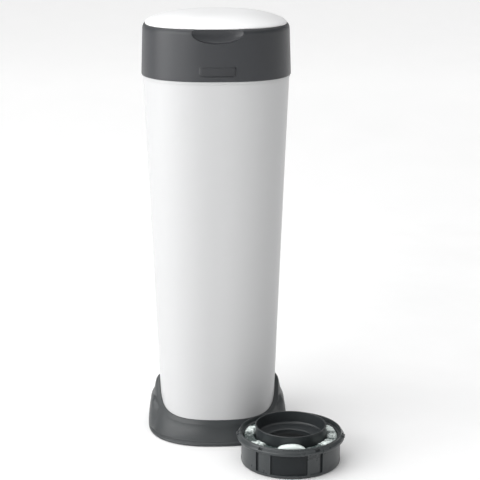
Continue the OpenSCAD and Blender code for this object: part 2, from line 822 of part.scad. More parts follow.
module release_button() {
    flange_low = spigot_top + run_gap;
    color(DARK) union() {
        // Curved face that follows the band, with its plunger
        intersection() {
            plan_plate(band_low_half + 0.2, button_z - button_h, button_z + button_h);
            face_block(button_w, button_h, button_round, button_z, -band_low_half - 1, button_back + 1);
        }
        // Flange inside the band that keeps the button from falling out
        translate([-button_w / 2 - flange_side, button_back, flange_low])
            cube([button_w + 2 * flange_side, flange_wall, flange_high - flange_low]);
        // Arm that reaches over the spigot and down behind it, with its nose
        translate([-catch_w / 2, button_back, flange_low])
            cube([catch_w, arm_front + flange_wall - button_back, flange_wall]);
        translate([-catch_w / 2, arm_front, catch_low])
            cube([catch_w, flange_wall, flange_low + flange_wall - catch_low]);
        // Posts that centre the springs
        for (s = [-1, 1]) translate([s * spring_x, button_back + flange_wall, button_z]) rotate([-90, 0, 0])
            cylinder(r = spring_r - spring_wire - seat_gap, h = 2);
    }
}

spring_x = 18;
spring_seat_w = 8;
spring_seat_y = -seat_r - tray_t - 1;
spring_turns = 4;
spring_steps = 8;

// A wire coil along +Y, of square section, from y = from to y = to
module coil(from, to) {
    r = spring_r - spring_wire / 2;
    h = spring_wire / 2;
    n = spring_turns * spring_steps;
    rise = (to - from - spring_wire) / n;
    points = [
        for (i = [0:n]) for (c = [[-1, -1], [1, -1], [1, 1], [-1, 1]])
            let (a = 360 * i / spring_steps, q = r + c[0] * h)
            [q * cos(a), from + h + i * rise + c[1] * h, q * sin(a)]
    ];
    faces = concat(
        [[0, 1, 2, 3], [4 * n + 3, 4 * n + 2, 4 * n + 1, 4 * n]],
        [for (i = [0:n - 1]) for (c = [0:3])
            let (p = 4 * i + c, q = 4 * i + (c + 1) % 4)
            each [[p, p + 4, q + 4], [p, q + 4, q]]]
    );
    polyhedron(points, faces, convexity = 10);
}

// Two coils between the button's flange and their seats on the tray
module button_springs() {
    color(STEEL) for (s = [-1, 1]) translate([s * spring_x, 0, button_z])
        coil(button_back + flange_wall, spring_seat_y);
}

// ---- Lid ----------------------------------------------------------------------------

dome_power = 3.2;
dome_steps = [1, 0.98, 0.94, 0.88, 0.8, 0.7, 0.58, 0.42, 0.22, 0.03];
edge_in = 1.6;

// Height of the dome's outside at the share s of its half-width
function dome(s) = rim + lid_edge_h + (lid_rise - lid_edge_h) * (1 - pow(s, dome_power));

liner_low = rim + seat_gap;
liner_top = liner_low + liner_t;
seal_room = 0.1;
groove_wall = 2;
skirt_wall = 2;
groove_half = seal_w / 2 + seal_room;
groove_out = seal_r + groove_half + groove_wall;
lid_screw_r = (groove_out + reach(45) * liner_half - skirt_wall) / 2;
lid_screw_share = lid_screw_r / (reach(45) * lid_half);
lid_boss_top = dome(lid_screw_share) - lid_wall + 0.5;
lid_bite = 3;
lid_boss_r = 4;

module lid_cap() {
    dome_half = lid_half - edge_in;
    inner_half = lid_half - lid_wall;
    color(WHITE) difference() {
        union() {
            round_plan(concat(
                [for (i = [len(dome_steps) - 1:-1:1])
                    let (s = dome_steps[i]) [s * inner_half, dome(s) - lid_wall]],
                [[inner_half, lid_low]],
                [[lid_half - 0.4, lid_low], [lid_half, lid_low + 0.5], [lid_half, rim + lid_edge_h - 2.2],
                    [lid_half - 0.5, rim + lid_edge_h - 0.8]],
                [for (s = dome_steps) [s * dome_half, dome(s)]]
            ), ring = false);
            corners(lid_screw_r) translate([0, 0, liner_top])
                cylinder(r = lid_boss_r, h = lid_boss_top - liner_top);
            for (s = [-1, 1]) lid_arm(s * lid_knuckle_x);
        }
        bar_x(pin_r + pin_gap, 0, lid_hinge_l, lid_hinge_y, lid_hinge_z);
        corners(lid_screw_r) bore(screw_r + pin_gap, liner_top, liner_top + lid_bite - cut_over + seat_gap);
    }
}

arm_root_in = 3.6;
lid_arm_t = 1.6;

// An arm from the lid's edge to its hinge barrel
module lid_arm(x) {
    bar_x(barrel_r, x, lid_knuckle_w, lid_hinge_y, lid_hinge_z);
    translate([x - lid_knuckle_w / 2, lid_half - arm_root_in, lid_low])
        cube([lid_knuckle_w, lid_hinge_y - lid_half + arm_root_in, lid_arm_t]);
}

module lid_hinge_pin() {
    color(STEEL) bar_x(pin_r, 0, lid_hinge_l, lid_hinge_y, lid_hinge_z);
}

liner_skirt_h = 4.5;
groove_h = 2.5;

module lid_liner() {
    color(WHITE) difference() {
        union() {
            plan_plate(liner_half, liner_low, liner_top);
            difference() {
                plan_plate(liner_half, liner_low - liner_skirt_h, liner_low + 0.5);
                plan_plate(liner_half - skirt_wall, liner_low - liner_skirt_h - 1, liner_low);
            }
            // Groove that holds the seal
            ring_plate(seal_r - (groove_out - seal_r), groove_out, liner_low - groove_h, liner_low + 0.5);
        }
        ring_plate(seal_r - groove_half, seal_r + groove_half, liner_low - groove_h - cut_over, liner_low);
        corners(lid_screw_r) bore(screw_r + seat_gap, liner_low, liner_top);
    }
}

module lid_seal() {
    low = deck_top + seat_gap;
    h = seal_w / 2;
    color(SOFT) rotate_extrude() polygon([
        [seal_r + h, liner_low], [seal_r - h, liner_low], [seal_r - h, liner_low - 0.8 * seal_w],
        [seal_r - h / 2, low + h / 3], [seal_r, low], [seal_r + h / 2, low + h / 3],
        [seal_r + h, liner_low - 0.8 * seal_w]
    ]);
}

module lid_screws() {
    color(STEEL) corners(lid_screw_r) screw_up(liner_low, liner_t + lid_bite);
}

// ---- Refill cassette ----------------------------------------------------------------

stand_r = foot_half * reach(cassette_a) + cup_r + stand_gap;

module at_cassette() {
    translate([stand_r * cos(cassette_a), -stand_r * sin(cassette_a), 0]) rotate(cassette_turn) children();
}

// Groups of sunk panels round the cup. From the middle of a group outwards: a deep panel, a rib, a
// shallow panel and a deep strip, at these angles, with a slot in the rim over each shallow panel.
panel_groups = 3;
rib_from_a = 21.3;
rib_to_a = 24.7;
strip_from_a = 37.8;
strip_to_a = 41;
slot_at_a = 32;
slot_w = 6.8;
slot_h = 3;
clip_at_a = 84;
clip_w = 7;
clip_out = 1;
clip_h = 3.6;
clip_down = 2.4;
rim_low = cup_h - rim_h;
panel_low = 5;

// Points along an arc round the cassette's middle, from the angle a to the angle b
function arc(r, a, b, n = 8) = [for (i = [0:n]) let (t = a + (b - a) * i / n) r * [cos(t), sin(t)]];

// One group of children for each group of panels, the first one at the front
module panel_group() {
    for (i = [0:panel_groups - 1]) rotate(-90 + 360 * i / panel_groups) children();
}

// Cuts a panel of the plan outline into the cup's side, up to the rim
module panel_cut(outline) {
    translate([0, 0, panel_low]) linear_extrude(rim_low + 1 - panel_low) polygon(outline);
}

module cassette_cup() {
    inner = cup_r - 2 * cup_wall;
    out = cup_r + 4;
    color(DARK) at_cassette() difference() {
        rotate_extrude() polygon([
            [mouth_r - cup_wall, 0], [cup_r - 3, 0], [cup_r - 0.9, 0.9], [cup_r, 3], [cup_r, rim_low],
            [inner, rim_low], [inner, cup_wall], [mouth_r - cup_wall, cup_wall]
        ]);
        panel_group() {
            panel_cut(concat(
                arc(cup_r - 2 * panel_d, -rib_from_a, rib_from_a, 12),
                arc(out, rib_from_a, -rib_from_a, 12)
            ));
            for (m = [0, 1]) mirror([0, m, 0]) panel_cut(concat(
                arc(cup_r - panel_d, rib_to_a, strip_from_a),
                arc(cup_r - 2 * panel_d, strip_from_a, strip_to_a, 2),
                arc(out, strip_to_a, rib_to_a)
            ));
        }
    }
}

module cassette_rim() {
    inner = cup_r - 2 * cup_wall;
    color(DARK) at_cassette() difference() {
        union() {
            rotate_extrude() polygon([
                [inner, rim_low], [lip_r - 0.8, rim_low], [lip_r, rim_low + 0.8], [lip_r, rim_low + 3.4],
                [lip_r - 1.2, rim_low + 5], [bead_r + 0.4, cup_h - 2.2], [bead_r + 0.3, cup_h - 0.6],
                [bead_r - 0.5, cup_h], [bead_r - 1.3, cup_h - 0.5], [bead_r - 1.7, cup_h - 2.4],
                [inner, cup_h - 5]
            ]);
            // Clips at the sides
            for (s = [-1, 1]) rotate(s * clip_at_a - 90)
                translate([bead_r, -clip_w / 2, cup_h - clip_down - clip_h])
                    cube([lip_r + clip_out - bead_r, clip_w, clip_h]);
        }
        panel_group() for (s = [-1, 1]) rotate(s * slot_at_a) translate([bead_r, -slot_w / 2, rim_low + 4])
            cube([lip_out + 5, slot_w, slot_h]);
    }
}

module cassette_mouth() {
    outer = mouth_out;
    ledge = mouth_h - neck_depth;
    color(DARK) at_cassette() rotate_extrude() polygon([
        [mouth_r - cup_wall, cup_wall], [outer, cup_wall], [outer, mouth_h - 1.6],
        [outer + 0.5, mouth_h - 1], [outer + 0.2, mouth_h], [mouth_r, mouth_h],
        [mouth_r, ledge + 2.5], [mouth_r - 2, ledge + 0.6], [neck_r + 1, ledge - 2],
        [neck_r, ledge - 3], [neck_r, ledge - 9], [neck_r + cup_wall, ledge - 9],
        [neck_r + cup_wall, ledge - 3.6], [mouth_r - cup_wall - 1, ledge - 1.4],
        [mouth_r - cup_wall, ledge - 2.4]
    ]);
}

film_turns = 48;
film_crest = 2;
film_gap = 0.8;
film_down = 6;
film_top = cup_h - film_down;
tab_a = 14;
tab_h = 6;
film_in = mouth_out + film_gap;
film_out = cup_r - 2 * cup_wall - film_gap;

// Pleated film packed in the channel between the mouth and the cup's wall
module film_pack() {
    function wave(j, n, shift) = cos(360 * j * n / film_turns + shift);
    function crest(j) = film_top + film_crest * (0.6 * wave(j, 7, 0) + 0.4 * wave(j, 11, 40));
    mid = (film_in + film_out) / 2;
    function at(r, j, z) = [r * cos(360 * j / film_turns), r * sin(360 * j / film_turns), z];
    rows = [
        [for (j = [0:film_turns - 1]) at(film_out, j, cup_wall + seat_gap)],
        [for (j = [0:film_turns - 1]) at(film_out, j, film_top - 4)],
        [for (j = [0:film_turns - 1]) at(mid, j, crest(j))],
        [for (j = [0:film_turns - 1]) at(film_in, j, film_top - 3)],
        [for (j = [0:film_turns - 1]) at(film_in, j, cup_wall + seat_gap)]
    ];
    n = len(rows);
    color(FILM) at_cassette() polyhedron(
        [for (r = rows) each r],
        [for (i = [0:n - 1]) for (j = [0:film_turns - 1])
            let (p = i * film_turns, q = ((i + 1) % n) * film_turns, m = (j + 1) % film_turns)
            each [[p + j, q + j, q + m], [p + j, q + m, p + m]]],
        convexity = 6
    );
}

// The film's loose end, a low hump over the channel at the front
module film_tab() {
    low = film_top + film_crest + seat_gap;
    color(FILM) at_cassette() rotate(-90 - tab_a) rotate_extrude(angle = 2 * tab_a) polygon([
        [film_in + 1, low], [film_out - 1, low], [film_out - 2.5, low + 3.4],
        [film_out - 6, low + tab_h - 0.4], [film_in + 4, low + tab_h], [film_in + 1.6, low + 4]
    ]);
}

floor_mat();
base_foot();
base_screws();
body_tube();
top_collar();
top_hinge_pin();
top_housing();
cassette_tray();
tray_screws();
grip_petals();
petal_ring();
ring_screws();
cutter_rail();
rail_screws();
button_springs();
lid_hinge_pin();
release_button();
cutter_slider();
cutter_blade();
lid_cap();
lid_liner();
lid_seal();
lid_screws();
cassette_cup();
cassette_rim();
cassette_mouth();
film_pack();
film_tab();
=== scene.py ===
# The nappy bin and its refill cassette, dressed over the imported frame.
# Lengths here are in millimetres until a mesh is made, and angles are in degrees.
# Materials, lights and the camera work in metres.
import math

import bpy
from mathutils import Matrix, Vector, noise


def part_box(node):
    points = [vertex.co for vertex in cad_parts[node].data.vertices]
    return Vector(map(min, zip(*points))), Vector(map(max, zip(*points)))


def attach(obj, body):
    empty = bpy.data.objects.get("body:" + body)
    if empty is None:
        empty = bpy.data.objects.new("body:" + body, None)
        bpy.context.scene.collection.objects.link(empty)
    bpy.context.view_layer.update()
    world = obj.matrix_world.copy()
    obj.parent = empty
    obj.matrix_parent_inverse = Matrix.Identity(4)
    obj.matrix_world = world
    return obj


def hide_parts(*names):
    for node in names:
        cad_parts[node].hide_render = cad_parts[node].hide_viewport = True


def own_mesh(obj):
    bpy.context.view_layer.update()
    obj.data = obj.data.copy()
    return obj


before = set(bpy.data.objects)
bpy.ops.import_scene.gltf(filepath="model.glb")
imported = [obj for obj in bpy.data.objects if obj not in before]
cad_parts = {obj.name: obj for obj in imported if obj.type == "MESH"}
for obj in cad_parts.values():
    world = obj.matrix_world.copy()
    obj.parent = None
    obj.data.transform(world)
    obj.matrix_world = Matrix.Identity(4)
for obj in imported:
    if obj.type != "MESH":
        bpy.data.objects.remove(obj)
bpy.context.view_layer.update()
scene = bpy.context.scene

MM = 0.001

# ---- Sizes shared with the frame ----

PLAN_POWER = 2.5
SIDES = 288
BAR_SIDES = 48
SMOOTH_A = 38

FLANGE_T = 3.5
BAND_H = 68
BAND_LEAN = 2.1
BAND_EDGE_H = 7.5
BAND_EDGE_IN = 3.6
BAND_WALL = 3
RIM_W = 9.7
LEDGE_DEPTH = 11
LEDGE_W = 3.8
LID_RISE = 18
LID_EDGE_H = 4
LID_WALL = 2.5
DOME_POWER = 3.2
TUBE_TAPER = 19.9
TUBE_WALL = 2.2
TUBE_FLOOR_T = 2.5
TUBE_SAG = 0.6
SEAT_GAP = 0.3
RUN_GAP = 0.4
BARREL_R = 4.2
PIN_R = 1.75
PIN_GAP = 0.06
SCREW_HEAD_R = 3.2
SCREW_BORE_R = 1.56
CATCH_W = 20
CASSETTE_TURN = -6
CUP_WALL = 1.6
CHANNEL_W = 16.6
NECK_IN = 15.6
FILM_GAP = 0.8


def span(node, axis):
    """Lowest and highest coordinate of a CAD node along one axis."""
    low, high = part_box(node)
    return low[axis] / MM, high[axis] / MM


def middle(node, axis):
    return sum(span(node, axis)) / 2


foot_low = span("base_foot", 2)[0]
foot_half = span("base_foot", 0)[1]
tube_low, tube_top = span("body_tube", 2)
tube_rim_half = span("body_tube", 0)[1]
flange_half = span("top_collar", 0)[1]
band_low = tube_top + FLANGE_T
rim = band_low + BAND_H
band_low_half = span("top_housing", 0)[1]
band_top_half = band_low_half - BAND_LEAN
top_open_half = band_top_half - RIM_W
deck_low = rim - LEDGE_DEPTH
lid_half = span("lid_cap", 0)[1]
tube_low_half = tube_rim_half - TUBE_TAPER
lid_low = rim + SEAT_GAP
hinge_y = {name: middle(name + "_hinge_pin", 1) for name in ("top", "lid")}
hinge_z = {name: middle(name + "_hinge_pin", 2) for name in ("top", "lid")}
hinge_l = {name: 2 * span(name + "_hinge_pin", 0)[1] for name in ("top", "lid")}

cassette_at = (middle("cassette_cup", 0), middle("cassette_cup", 1))
cup_r = (span("cassette_cup", 0)[1] - span("cassette_cup", 0)[0]) / 2
rim_low = span("cassette_cup", 2)[1]
cup_h = span("cassette_rim", 2)[1]
bead_r = cup_r + 1.5
lip_r = cup_r + 5.4
mouth_h = span("cassette_mouth", 2)[1]
mouth_out = cup_r - 2 * CUP_WALL - CHANNEL_W
mouth_r = mouth_out - CUP_WALL
neck_r = mouth_r - NECK_IN
film_in = mouth_out + FILM_GAP
film_out = cup_r - 2 * CUP_WALL - FILM_GAP

# ---- Meshes ----


def cosd(a):
    return math.cos(math.radians(a))


def sind(a):
    return math.sin(math.radians(a))


def turns_of(n):
    """n angles evenly spaced round a full turn."""
    return [360 * i / n for i in range(n)]


def reach(a):
    """Distance from the middle to the plan outline of half-width 1, in the direction a."""
    c, s = abs(cosd(a)), abs(sind(a))
    return (c**PLAN_POWER + s**PLAN_POWER) ** (-1 / PLAN_POWER)


def front_of(half, x):
    """How far in front of the middle line the outline of that half-width lies at x."""
    return half * (1 - (abs(x) / half) ** PLAN_POWER) ** (1 / PLAN_POWER)


def polar(r, a, z):
    return (r * cosd(a), r * sind(a), z)


def plan_ring(half, z):
    """Points round the bin's plan outline."""
    return [polar(half * reach(a), a, z) for a in turns_of(SIDES)]


def round_ring(r, z, angles=tuple(turns_of(SIDES))):
    return [polar(r, a, z) for a in angles]


def loft(rings, loop=False, low_tip=None, high_tip=None):
    """Quads between neighbouring rings of points, with a tip over an end that is closed."""
    n = len(rings[0])
    points = [p for ring in rings for p in ring]
    faces = []
    for i in range(len(rings) - (0 if loop else 1)):
        a, b = i * n, (i + 1) % len(rings) * n
        faces += [(a + j, a + (j + 1) % n, b + (j + 1) % n, b + j) for j in range(n)]
    if low_tip:
        points.append(low_tip)
        faces += [((j + 1) % n, j, len(points) - 1) for j in range(n)]
    if high_tip:
        points.append(high_tip)
        last = (len(rings) - 1) * n
        faces += [(last + j, last + (j + 1) % n, len(points) - 1) for j in range(n)]
    return points, faces


def joined(*shapes):
    """One shape made of several."""
    points, faces = [], []
    for more_points, more_faces in shapes:
        faces += [tuple(i + len(points) for i in face) for face in more_faces]
        points += more_points
    return points, faces


def moved(shape, offset=(0, 0, 0), turn=0):
    """A shape turned about Z and then moved."""
    c, s = cosd(turn), sind(turn)
    dx, dy, dz = offset
    return [(c * x - s * y + dx, s * x + c * y + dy, z + dz) for x, y, z in shape[0]], shape[1]


def eased(corners, loop=True, steps=4):
    """A profile of (across, up, rounding) corners, each rounded off over that length."""
    out = []
    n = len(corners)
    for i, (across, up, cut) in enumerate(corners):
        here = Vector((across, up))
        if not cut or (not loop and i in (0, n - 1)):
            out.append((across, up))
            continue
        before = Vector(corners[i - 1][:2]) - here
        after = Vector(corners[(i + 1) % n][:2]) - here
        a = here + before.normalized() * min(cut, before.length * 0.48)
        b = here + after.normalized() * min(cut, after.length * 0.48)
        for k in range(steps + 1):
            t = k / steps
            out.append(tuple(a * (1 - t) ** 2 + here * 2 * t * (1 - t) + b * t * t))
    return out


def steps(low, high, n):
    """n + 1 evenly spaced values from low to high."""
    return [low + (high - low) * i / n for i in range(n + 1)]


def ease(t):
    """A soft step from 0 to 1 as t goes from 0 to 1."""
    t = min(1, max(0, t))
    return t * t * (3 - 2 * t)


def bar(profile, y, z):
    """A profile of (radius, x) points turned about a line along X."""
    angles = turns_of(BAR_SIDES)
    rings = [[(x, y + r * cosd(a), z + r * sind(a)) for a in angles] for r, x in profile]
    return loft(rings, loop=True)


def slab(x, w, y, z, cut=0.4):
    """A block of the width w about x, between two y and two z, with its edges rounded off."""
    x0, x1, (y0, y1), (z0, z1) = x - w / 2, x + w / 2, y, z

    def outline(inset, z):
        left, right, front, back = x0 + inset, x1 - inset, y0 + inset, y1 - inset
        corners = [(left, front, cut), (right, front, cut), (right, back, cut), (left, back, cut)]
        return [(x, y, z) for x, y in eased(corners)]

    levels = [(0.3 * cut, 0.7 * cut), (0, cut)]
    rings = [outline(cut, z0)] + [outline(cut - up, z0 + cut - away) for away, up in levels]
    rings += [outline(cut - up, z1 - cut + away) for away, up in reversed(levels)]
    rings.append(outline(cut, z1))
    y_mid = (y0 + y1) / 2
    return loft(rings, low_tip=(x, y_mid, z0), high_tip=(x, y_mid, z1))


def tube_of(inner, outer, low, high, sides=40):
    """An upright ring with softly chamfered edges."""
    cut = 0.3
    profile = [(inner, low), (outer - cut, low), (outer, low + cut),
               (outer, high - cut), (outer - cut, high), (inner, high)]
    return loft([round_ring(r, z, turns_of(sides)) for r, z in profile], loop=True)


def corners_of(node):
    """Centres of a CAD node's four screws, which stand at the corners of a square."""
    r = span(node, 0)[1] - SCREW_HEAD_R
    return [(sx * r, sy * r) for sx in (-1, 1) for sy in (-1, 1)]


def at_corners(node, shape):
    """A shape repeated at each of those four screws."""
    return joined(*[moved(shape, (x, y, 0)) for x, y in corners_of(node)])


def smooth_mesh(mesh, angle):
    mesh.shade_smooth()
    mesh.set_sharp_from_angle(angle=math.radians(angle))


def mesh_object(name, shape, smooth=SMOOTH_A):
    """A new object made from a shape, its edges above the angle kept sharp."""
    mesh = bpy.data.meshes.new(name)
    mesh.from_pydata([tuple(c * MM for c in p) for p in shape[0]], [], shape[1])
    smooth_mesh(mesh, smooth)
    obj = bpy.data.objects.new(name, mesh)
    scene.collection.objects.link(obj)
    return obj


def modify(obj, kind, **settings):
    """Gives an object a modifier with its settings."""
    modifier = obj.modifiers.new(kind.lower(), kind)
    for name, value in settings.items():
        setattr(modifier, name, value)


def combine(obj, shape, operation):
    """Cuts a shape or another object out of an object's mesh, or joins it on."""
    tool = mesh_object(obj.name + "_tool", shape) if isinstance(shape, tuple) else shape
    modify(obj, "BOOLEAN", operation=operation, solver="EXACT", object=tool)
    graph = bpy.context.evaluated_depsgraph_get()
    mesh = bpy.data.meshes.new_from_object(obj.evaluated_get(graph))
    obj.modifiers.clear()
    obj.data = mesh
    smooth_mesh(mesh, SMOOTH_A)
    bpy.data.objects.remove(tool)


def mark_points(obj, name, values):
    """Keeps a number for each point of an object's mesh."""
    layer = obj.data.attributes.new(name, "FLOAT", "POINT")
    layer.data.foreach_set("value", values)


def finish(pieces, body, material, nodes):
    """Gives pieces their material, hangs them under an empty named for their body and hides the CAD
    nodes they stand in for.
    """
    for obj in pieces:
        obj.data.materials.clear()
        obj.data.materials.append(material)
        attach(obj, body)
        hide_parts(*nodes)


# ---- Materials ----


def shader(name):
    """A new material, its node tree and its main shader."""
    material = bpy.data.materials.new(name)
    material.use_nodes = True
    tree = material.node_tree
    return material, tree, tree.nodes["Principled BSDF"]


def node_of(tree, kind, links, **settings):
    """A new shader node with its settings, its sockets fed by the links."""
    node = tree.nodes.new("ShaderNode" + kind)
    for name, value in settings.items():
        setattr(node, name, value)
    for socket, value in links.items():
        tree.links.new(value, node.inputs[socket])
    return node


def noise_of(tree, scale, detail=3, roughness=0.55, stretch=(1, 1, 1)):
    """A noise over the object's own coordinates; the scale is in features per metre."""
    where = node_of(tree, "TexCoord", {})
    stretched = node_of(tree, "Mapping", {"Vector": where.outputs["Object"]})
    stretched.inputs["Scale"].default_value = stretch
    field = node_of(tree, "TexNoise", {"Vector": stretched.outputs["Vector"]})
    field.inputs["Scale"].default_value = scale
    field.inputs["Detail"].default_value = detail
    field.inputs["Roughness"].default_value = roughness
    return field.outputs["Fac"]


def ranged(tree, value, low, high, from_low=0.3, from_high=0.7):
    """A value stretched from one range to another and kept inside it."""
    node = node_of(tree, "MapRange", {"Value": value})
    node.inputs["From Min"].default_value = from_low
    node.inputs["From Max"].default_value = from_high
    node.inputs["To Min"].default_value = low
    node.inputs["To Max"].default_value = high
    return node.outputs["Result"]


def tinted(tree, value, dark, light, *values):
    """A colour that goes from dark to light as a value goes through its range."""
    factor = ranged(tree, value, 0, 1, *values)
    node = node_of(tree, "Mix", {"Factor": factor}, data_type="RGBA")
    node.inputs["A"].default_value = (*dark, 1)
    node.inputs["B"].default_value = (*light, 1)
    return node.outputs["Result"]


def added(tree, a, b, share=0.5):
    """A mix of two values."""
    node = node_of(tree, "Mix", {"A": a, "B": b})
    node.inputs["Factor"].default_value = share
    return node.outputs["Result"]


def reckoned(tree, operation, a, b):
    """Two values put through a maths node."""
    return node_of(tree, "Math", {0: a, 1: b}, operation=operation).outputs["Value"]


def stored(tree, name):
    """The number that the mesh keeps for each point under that name."""
    return node_of(tree, "Attribute", {}, attribute_name=name).outputs["Fac"]


def bumped(tree, layers):
    """Stacks bumps of (height, distance in metres, strength) and gives the last one's normal."""
    below = {}
    for height, distance, strength in layers:
        node = node_of(tree, "Bump", {"Height": height, **below})
        node.inputs["Distance"].default_value = distance
        node.inputs["Strength"].default_value = strength
        below = {"Normal": node.outputs["Normal"]}
    return node.outputs["Normal"]


def feed(tree, main, colour, roughness, normal):
    """Connects the main shader's colour, roughness and normal."""
    tree.links.new(colour, main.inputs["Base Color"])
    tree.links.new(roughness, main.inputs["Roughness"])
    tree.links.new(normal, main.inputs["Normal"])


def shade(colour, factor):
    """A colour made darker or lighter."""
    return tuple(c * factor for c in colour)


def plastic(name, base, roughness=(0.34, 0.46), vary=0.05, grain=0.12, peel=0.1, flow=(1, 1, 1)):
    """Moulded plastic: a fine eroded grain, a soft ripple and faint drifts of tone and gloss."""
    material, tree, main = shader(name)
    drift = noise_of(tree, 14, 4, 0.6, flow)
    fine = noise_of(tree, 900, 2, 0.6)
    ripple = noise_of(tree, 160, 2, 0.5, flow)
    tone = added(tree, drift, fine, 0.35)
    feed(tree, main, tinted(tree, tone, shade(base, 1 - vary), shade(base, 1 + vary)),
         ranged(tree, added(tree, drift, ripple, 0.4), *roughness),
         bumped(tree, [(ripple, 0.0004, peel), (fine, 0.0002, grain)]))
    return material


def paint_shade_where(material, attribute, tint, gloss):
    """Paints shade into a material's colour and dulls its gloss where the mesh attribute is 1."""
    tree = material.node_tree
    main = tree.nodes["Principled BSDF"]
    colour = main.inputs["Base Color"].links[0].from_socket
    where = stored(tree, attribute)
    mix = node_of(tree, "Mix", {"Factor": where, "A": colour},
                  data_type="RGBA", blend_type="MULTIPLY")
    mix.inputs["B"].default_value = (*tint, 1)
    tree.links.new(mix.outputs["Result"], main.inputs["Base Color"])
    level = ranged(tree, where, 0.5, gloss, 0, 1)
    tree.links.new(level, main.inputs["Specular IOR Level"])


def rubber(name, base):
    """Matt rubber with a fine pebbled skin."""
    material, tree, main = shader(name)
    drift = noise_of(tree, 40, 4)
    pebble = noise_of(tree, 1300, 2)
    feed(tree, main, tinted(tree, drift, shade(base, 0.85), shade(base, 1.2)),
         ranged(tree, added(tree, drift, pebble), 0.62, 0.82),
         bumped(tree, [(pebble, 0.0003, 0.35)]))
    return material


def metal(name, base, roughness=(0.22, 0.38), stretch=(1, 1, 1)):
    """Plated or drawn metal with fine scratches."""
    material, tree, main = shader(name)
    drift = noise_of(tree, 90, 4)
    scratch = noise_of(tree, 1500, 3, 0.7, stretch)
    main.inputs["Metallic"].default_value = 1
    feed(tree, main, tinted(tree, drift, shade(base, 0.82), base),
         ranged(tree, added(tree, drift, scratch), *roughness),
         bumped(tree, [(scratch, 0.0001, 0.2)]))
    return material


def film_material(name, clear, milky):
    """Thin film: milky where it is gathered, greenish and dark where it lies open over the cup."""
    material, tree, main = shader(name)
    wisps = noise_of(tree, 130, 5, 0.65)
    creases = noise_of(tree, 420, 4, 0.7)
    amount = reckoned(tree, "ADD", stored(tree, "gathered"), ranged(tree, wisps, -0.32, 0.32))
    feed(tree, main, tinted(tree, amount, clear, milky, 0.25, 0.75),
         ranged(tree, creases, 0.12, 0.3),
         bumped(tree, [(wisps, 0.001, 0.35), (creases, 0.0005, 0.4)]))
    main.inputs["Specular IOR Level"].default_value = 0.7
    main.inputs["Coat Weight"].default_value = 0.35
    main.inputs["Coat Roughness"].default_value = 0.08
    return material


TUBE_FLOW = (1, 1, 0.12)
# One white plastic in two copies: the tube and collar get a darker white as painted shade, the lid
# and its liner a lighter white as painted light
white = plastic("white_moulded_shaded", (0.54, 0.543, 0.547), (0.3, 0.4), 0.012, 0.05, 0.05, TUBE_FLOW)
lid_white_lit = plastic("lid_moulded_lit", (0.85, 0.853, 0.856), (0.32, 0.42), 0.012, 0.08, 0.05)
dark = plastic("band_moulded", (0.031, 0.033, 0.037), (0.34, 0.44), 0.08, 0.16, 0.06)
# The button is the band's plastic made darker and duller, as painted shade on its face
button_shaded = plastic("button_moulded_shaded", (0.026, 0.0275, 0.031), (0.4, 0.5), 0.08, 0.14, 0.06)
foot_dark = plastic("foot_moulded", (0.034, 0.038, 0.04), (0.36, 0.48), 0.08, 0.2, 0.08)
inner_dark = plastic("tray_moulded", (0.045, 0.047, 0.05), (0.4, 0.55), 0.1, 0.2, 0.1)
cassette_dark = plastic("cassette_moulded", (0.034, 0.039, 0.041), (0.24, 0.34), 0.06, 0.03, 0.03)
# The cup is the cassette's plastic again, with painted shade in its deeper panels
cup_painted_shade = plastic("cup_moulded_painted_shade", (0.034, 0.039, 0.041), (0.24, 0.34), 0.06, 0.03, 0.03)
paint_shade_where(cup_painted_shade, "sunk", (0.45, 0.46, 0.48), 0.18)
mouth_dark = plastic("mouth_moulded", (0.024, 0.028, 0.03), (0.3, 0.4), 0.08, 0.05, 0.04)
orange = plastic("slider_moulded", (0.6, 0.16, 0.06), (0.34, 0.46), 0.06, 0.1, 0.08)
mat_rubber = rubber("mat_rubber", (0.02, 0.02, 0.021))
seal_rubber = rubber("seal_rubber", (0.05, 0.052, 0.055))
zinc = metal("zinc_plated", (0.74, 0.75, 0.77))
spring_wire = metal("spring_wire", (0.6, 0.6, 0.62), (0.25, 0.4))
blade_metal = metal("blade_ground", (0.8, 0.81, 0.82), (0.15, 0.3), (1, 12, 1))
film = film_material("film_sheet", (0.05, 0.075, 0.07), (0.82, 0.9, 0.87))

# ---- CAD nodes that stay ----

SMOOTH_CAD_A = 32
WELD = 0.002
FLAT_A = 0.4
BEVEL_A = 40


def smoother(angle):
    """A node group that smooths a mesh and keeps the edges sharper than the angle."""
    tree = bpy.data.node_groups.new("smooth_by_angle", "GeometryNodeTree")
    for way in ("INPUT", "OUTPUT"):
        tree.interface.new_socket("Geometry", in_out=way, socket_type="NodeSocketGeometry")
    chain = [tree.nodes.new(kind) for kind in (
        "NodeGroupInput", "GeometryNodeRemoveAttribute", "GeometryNodeSetShadeSmooth",
        "GeometryNodeSetShadeSmooth", "NodeGroupOutput")]
    for before, after in zip(chain, chain[1:]):
        tree.links.new(before.outputs[0], after.inputs[0])
    chain[1].inputs["Name"].default_value = "custom_normal"
    edges = chain[3]
    edges.domain = "EDGE"
    edges.inputs["Shade Smooth"].default_value = False
    between = tree.nodes.new("GeometryNodeInputMeshEdgeAngle")
    sharp = tree.nodes.new("ShaderNodeMath")
    sharp.operation = "GREATER_THAN"
    sharp.inputs[1].default_value = math.radians(angle)
    tree.links.new(between.outputs["Unsigned Angle"], sharp.inputs[0])
    tree.links.new(sharp.outputs["Value"], edges.inputs["Selection"])
    return tree


smooth_group = smoother(SMOOTH_CAD_A)


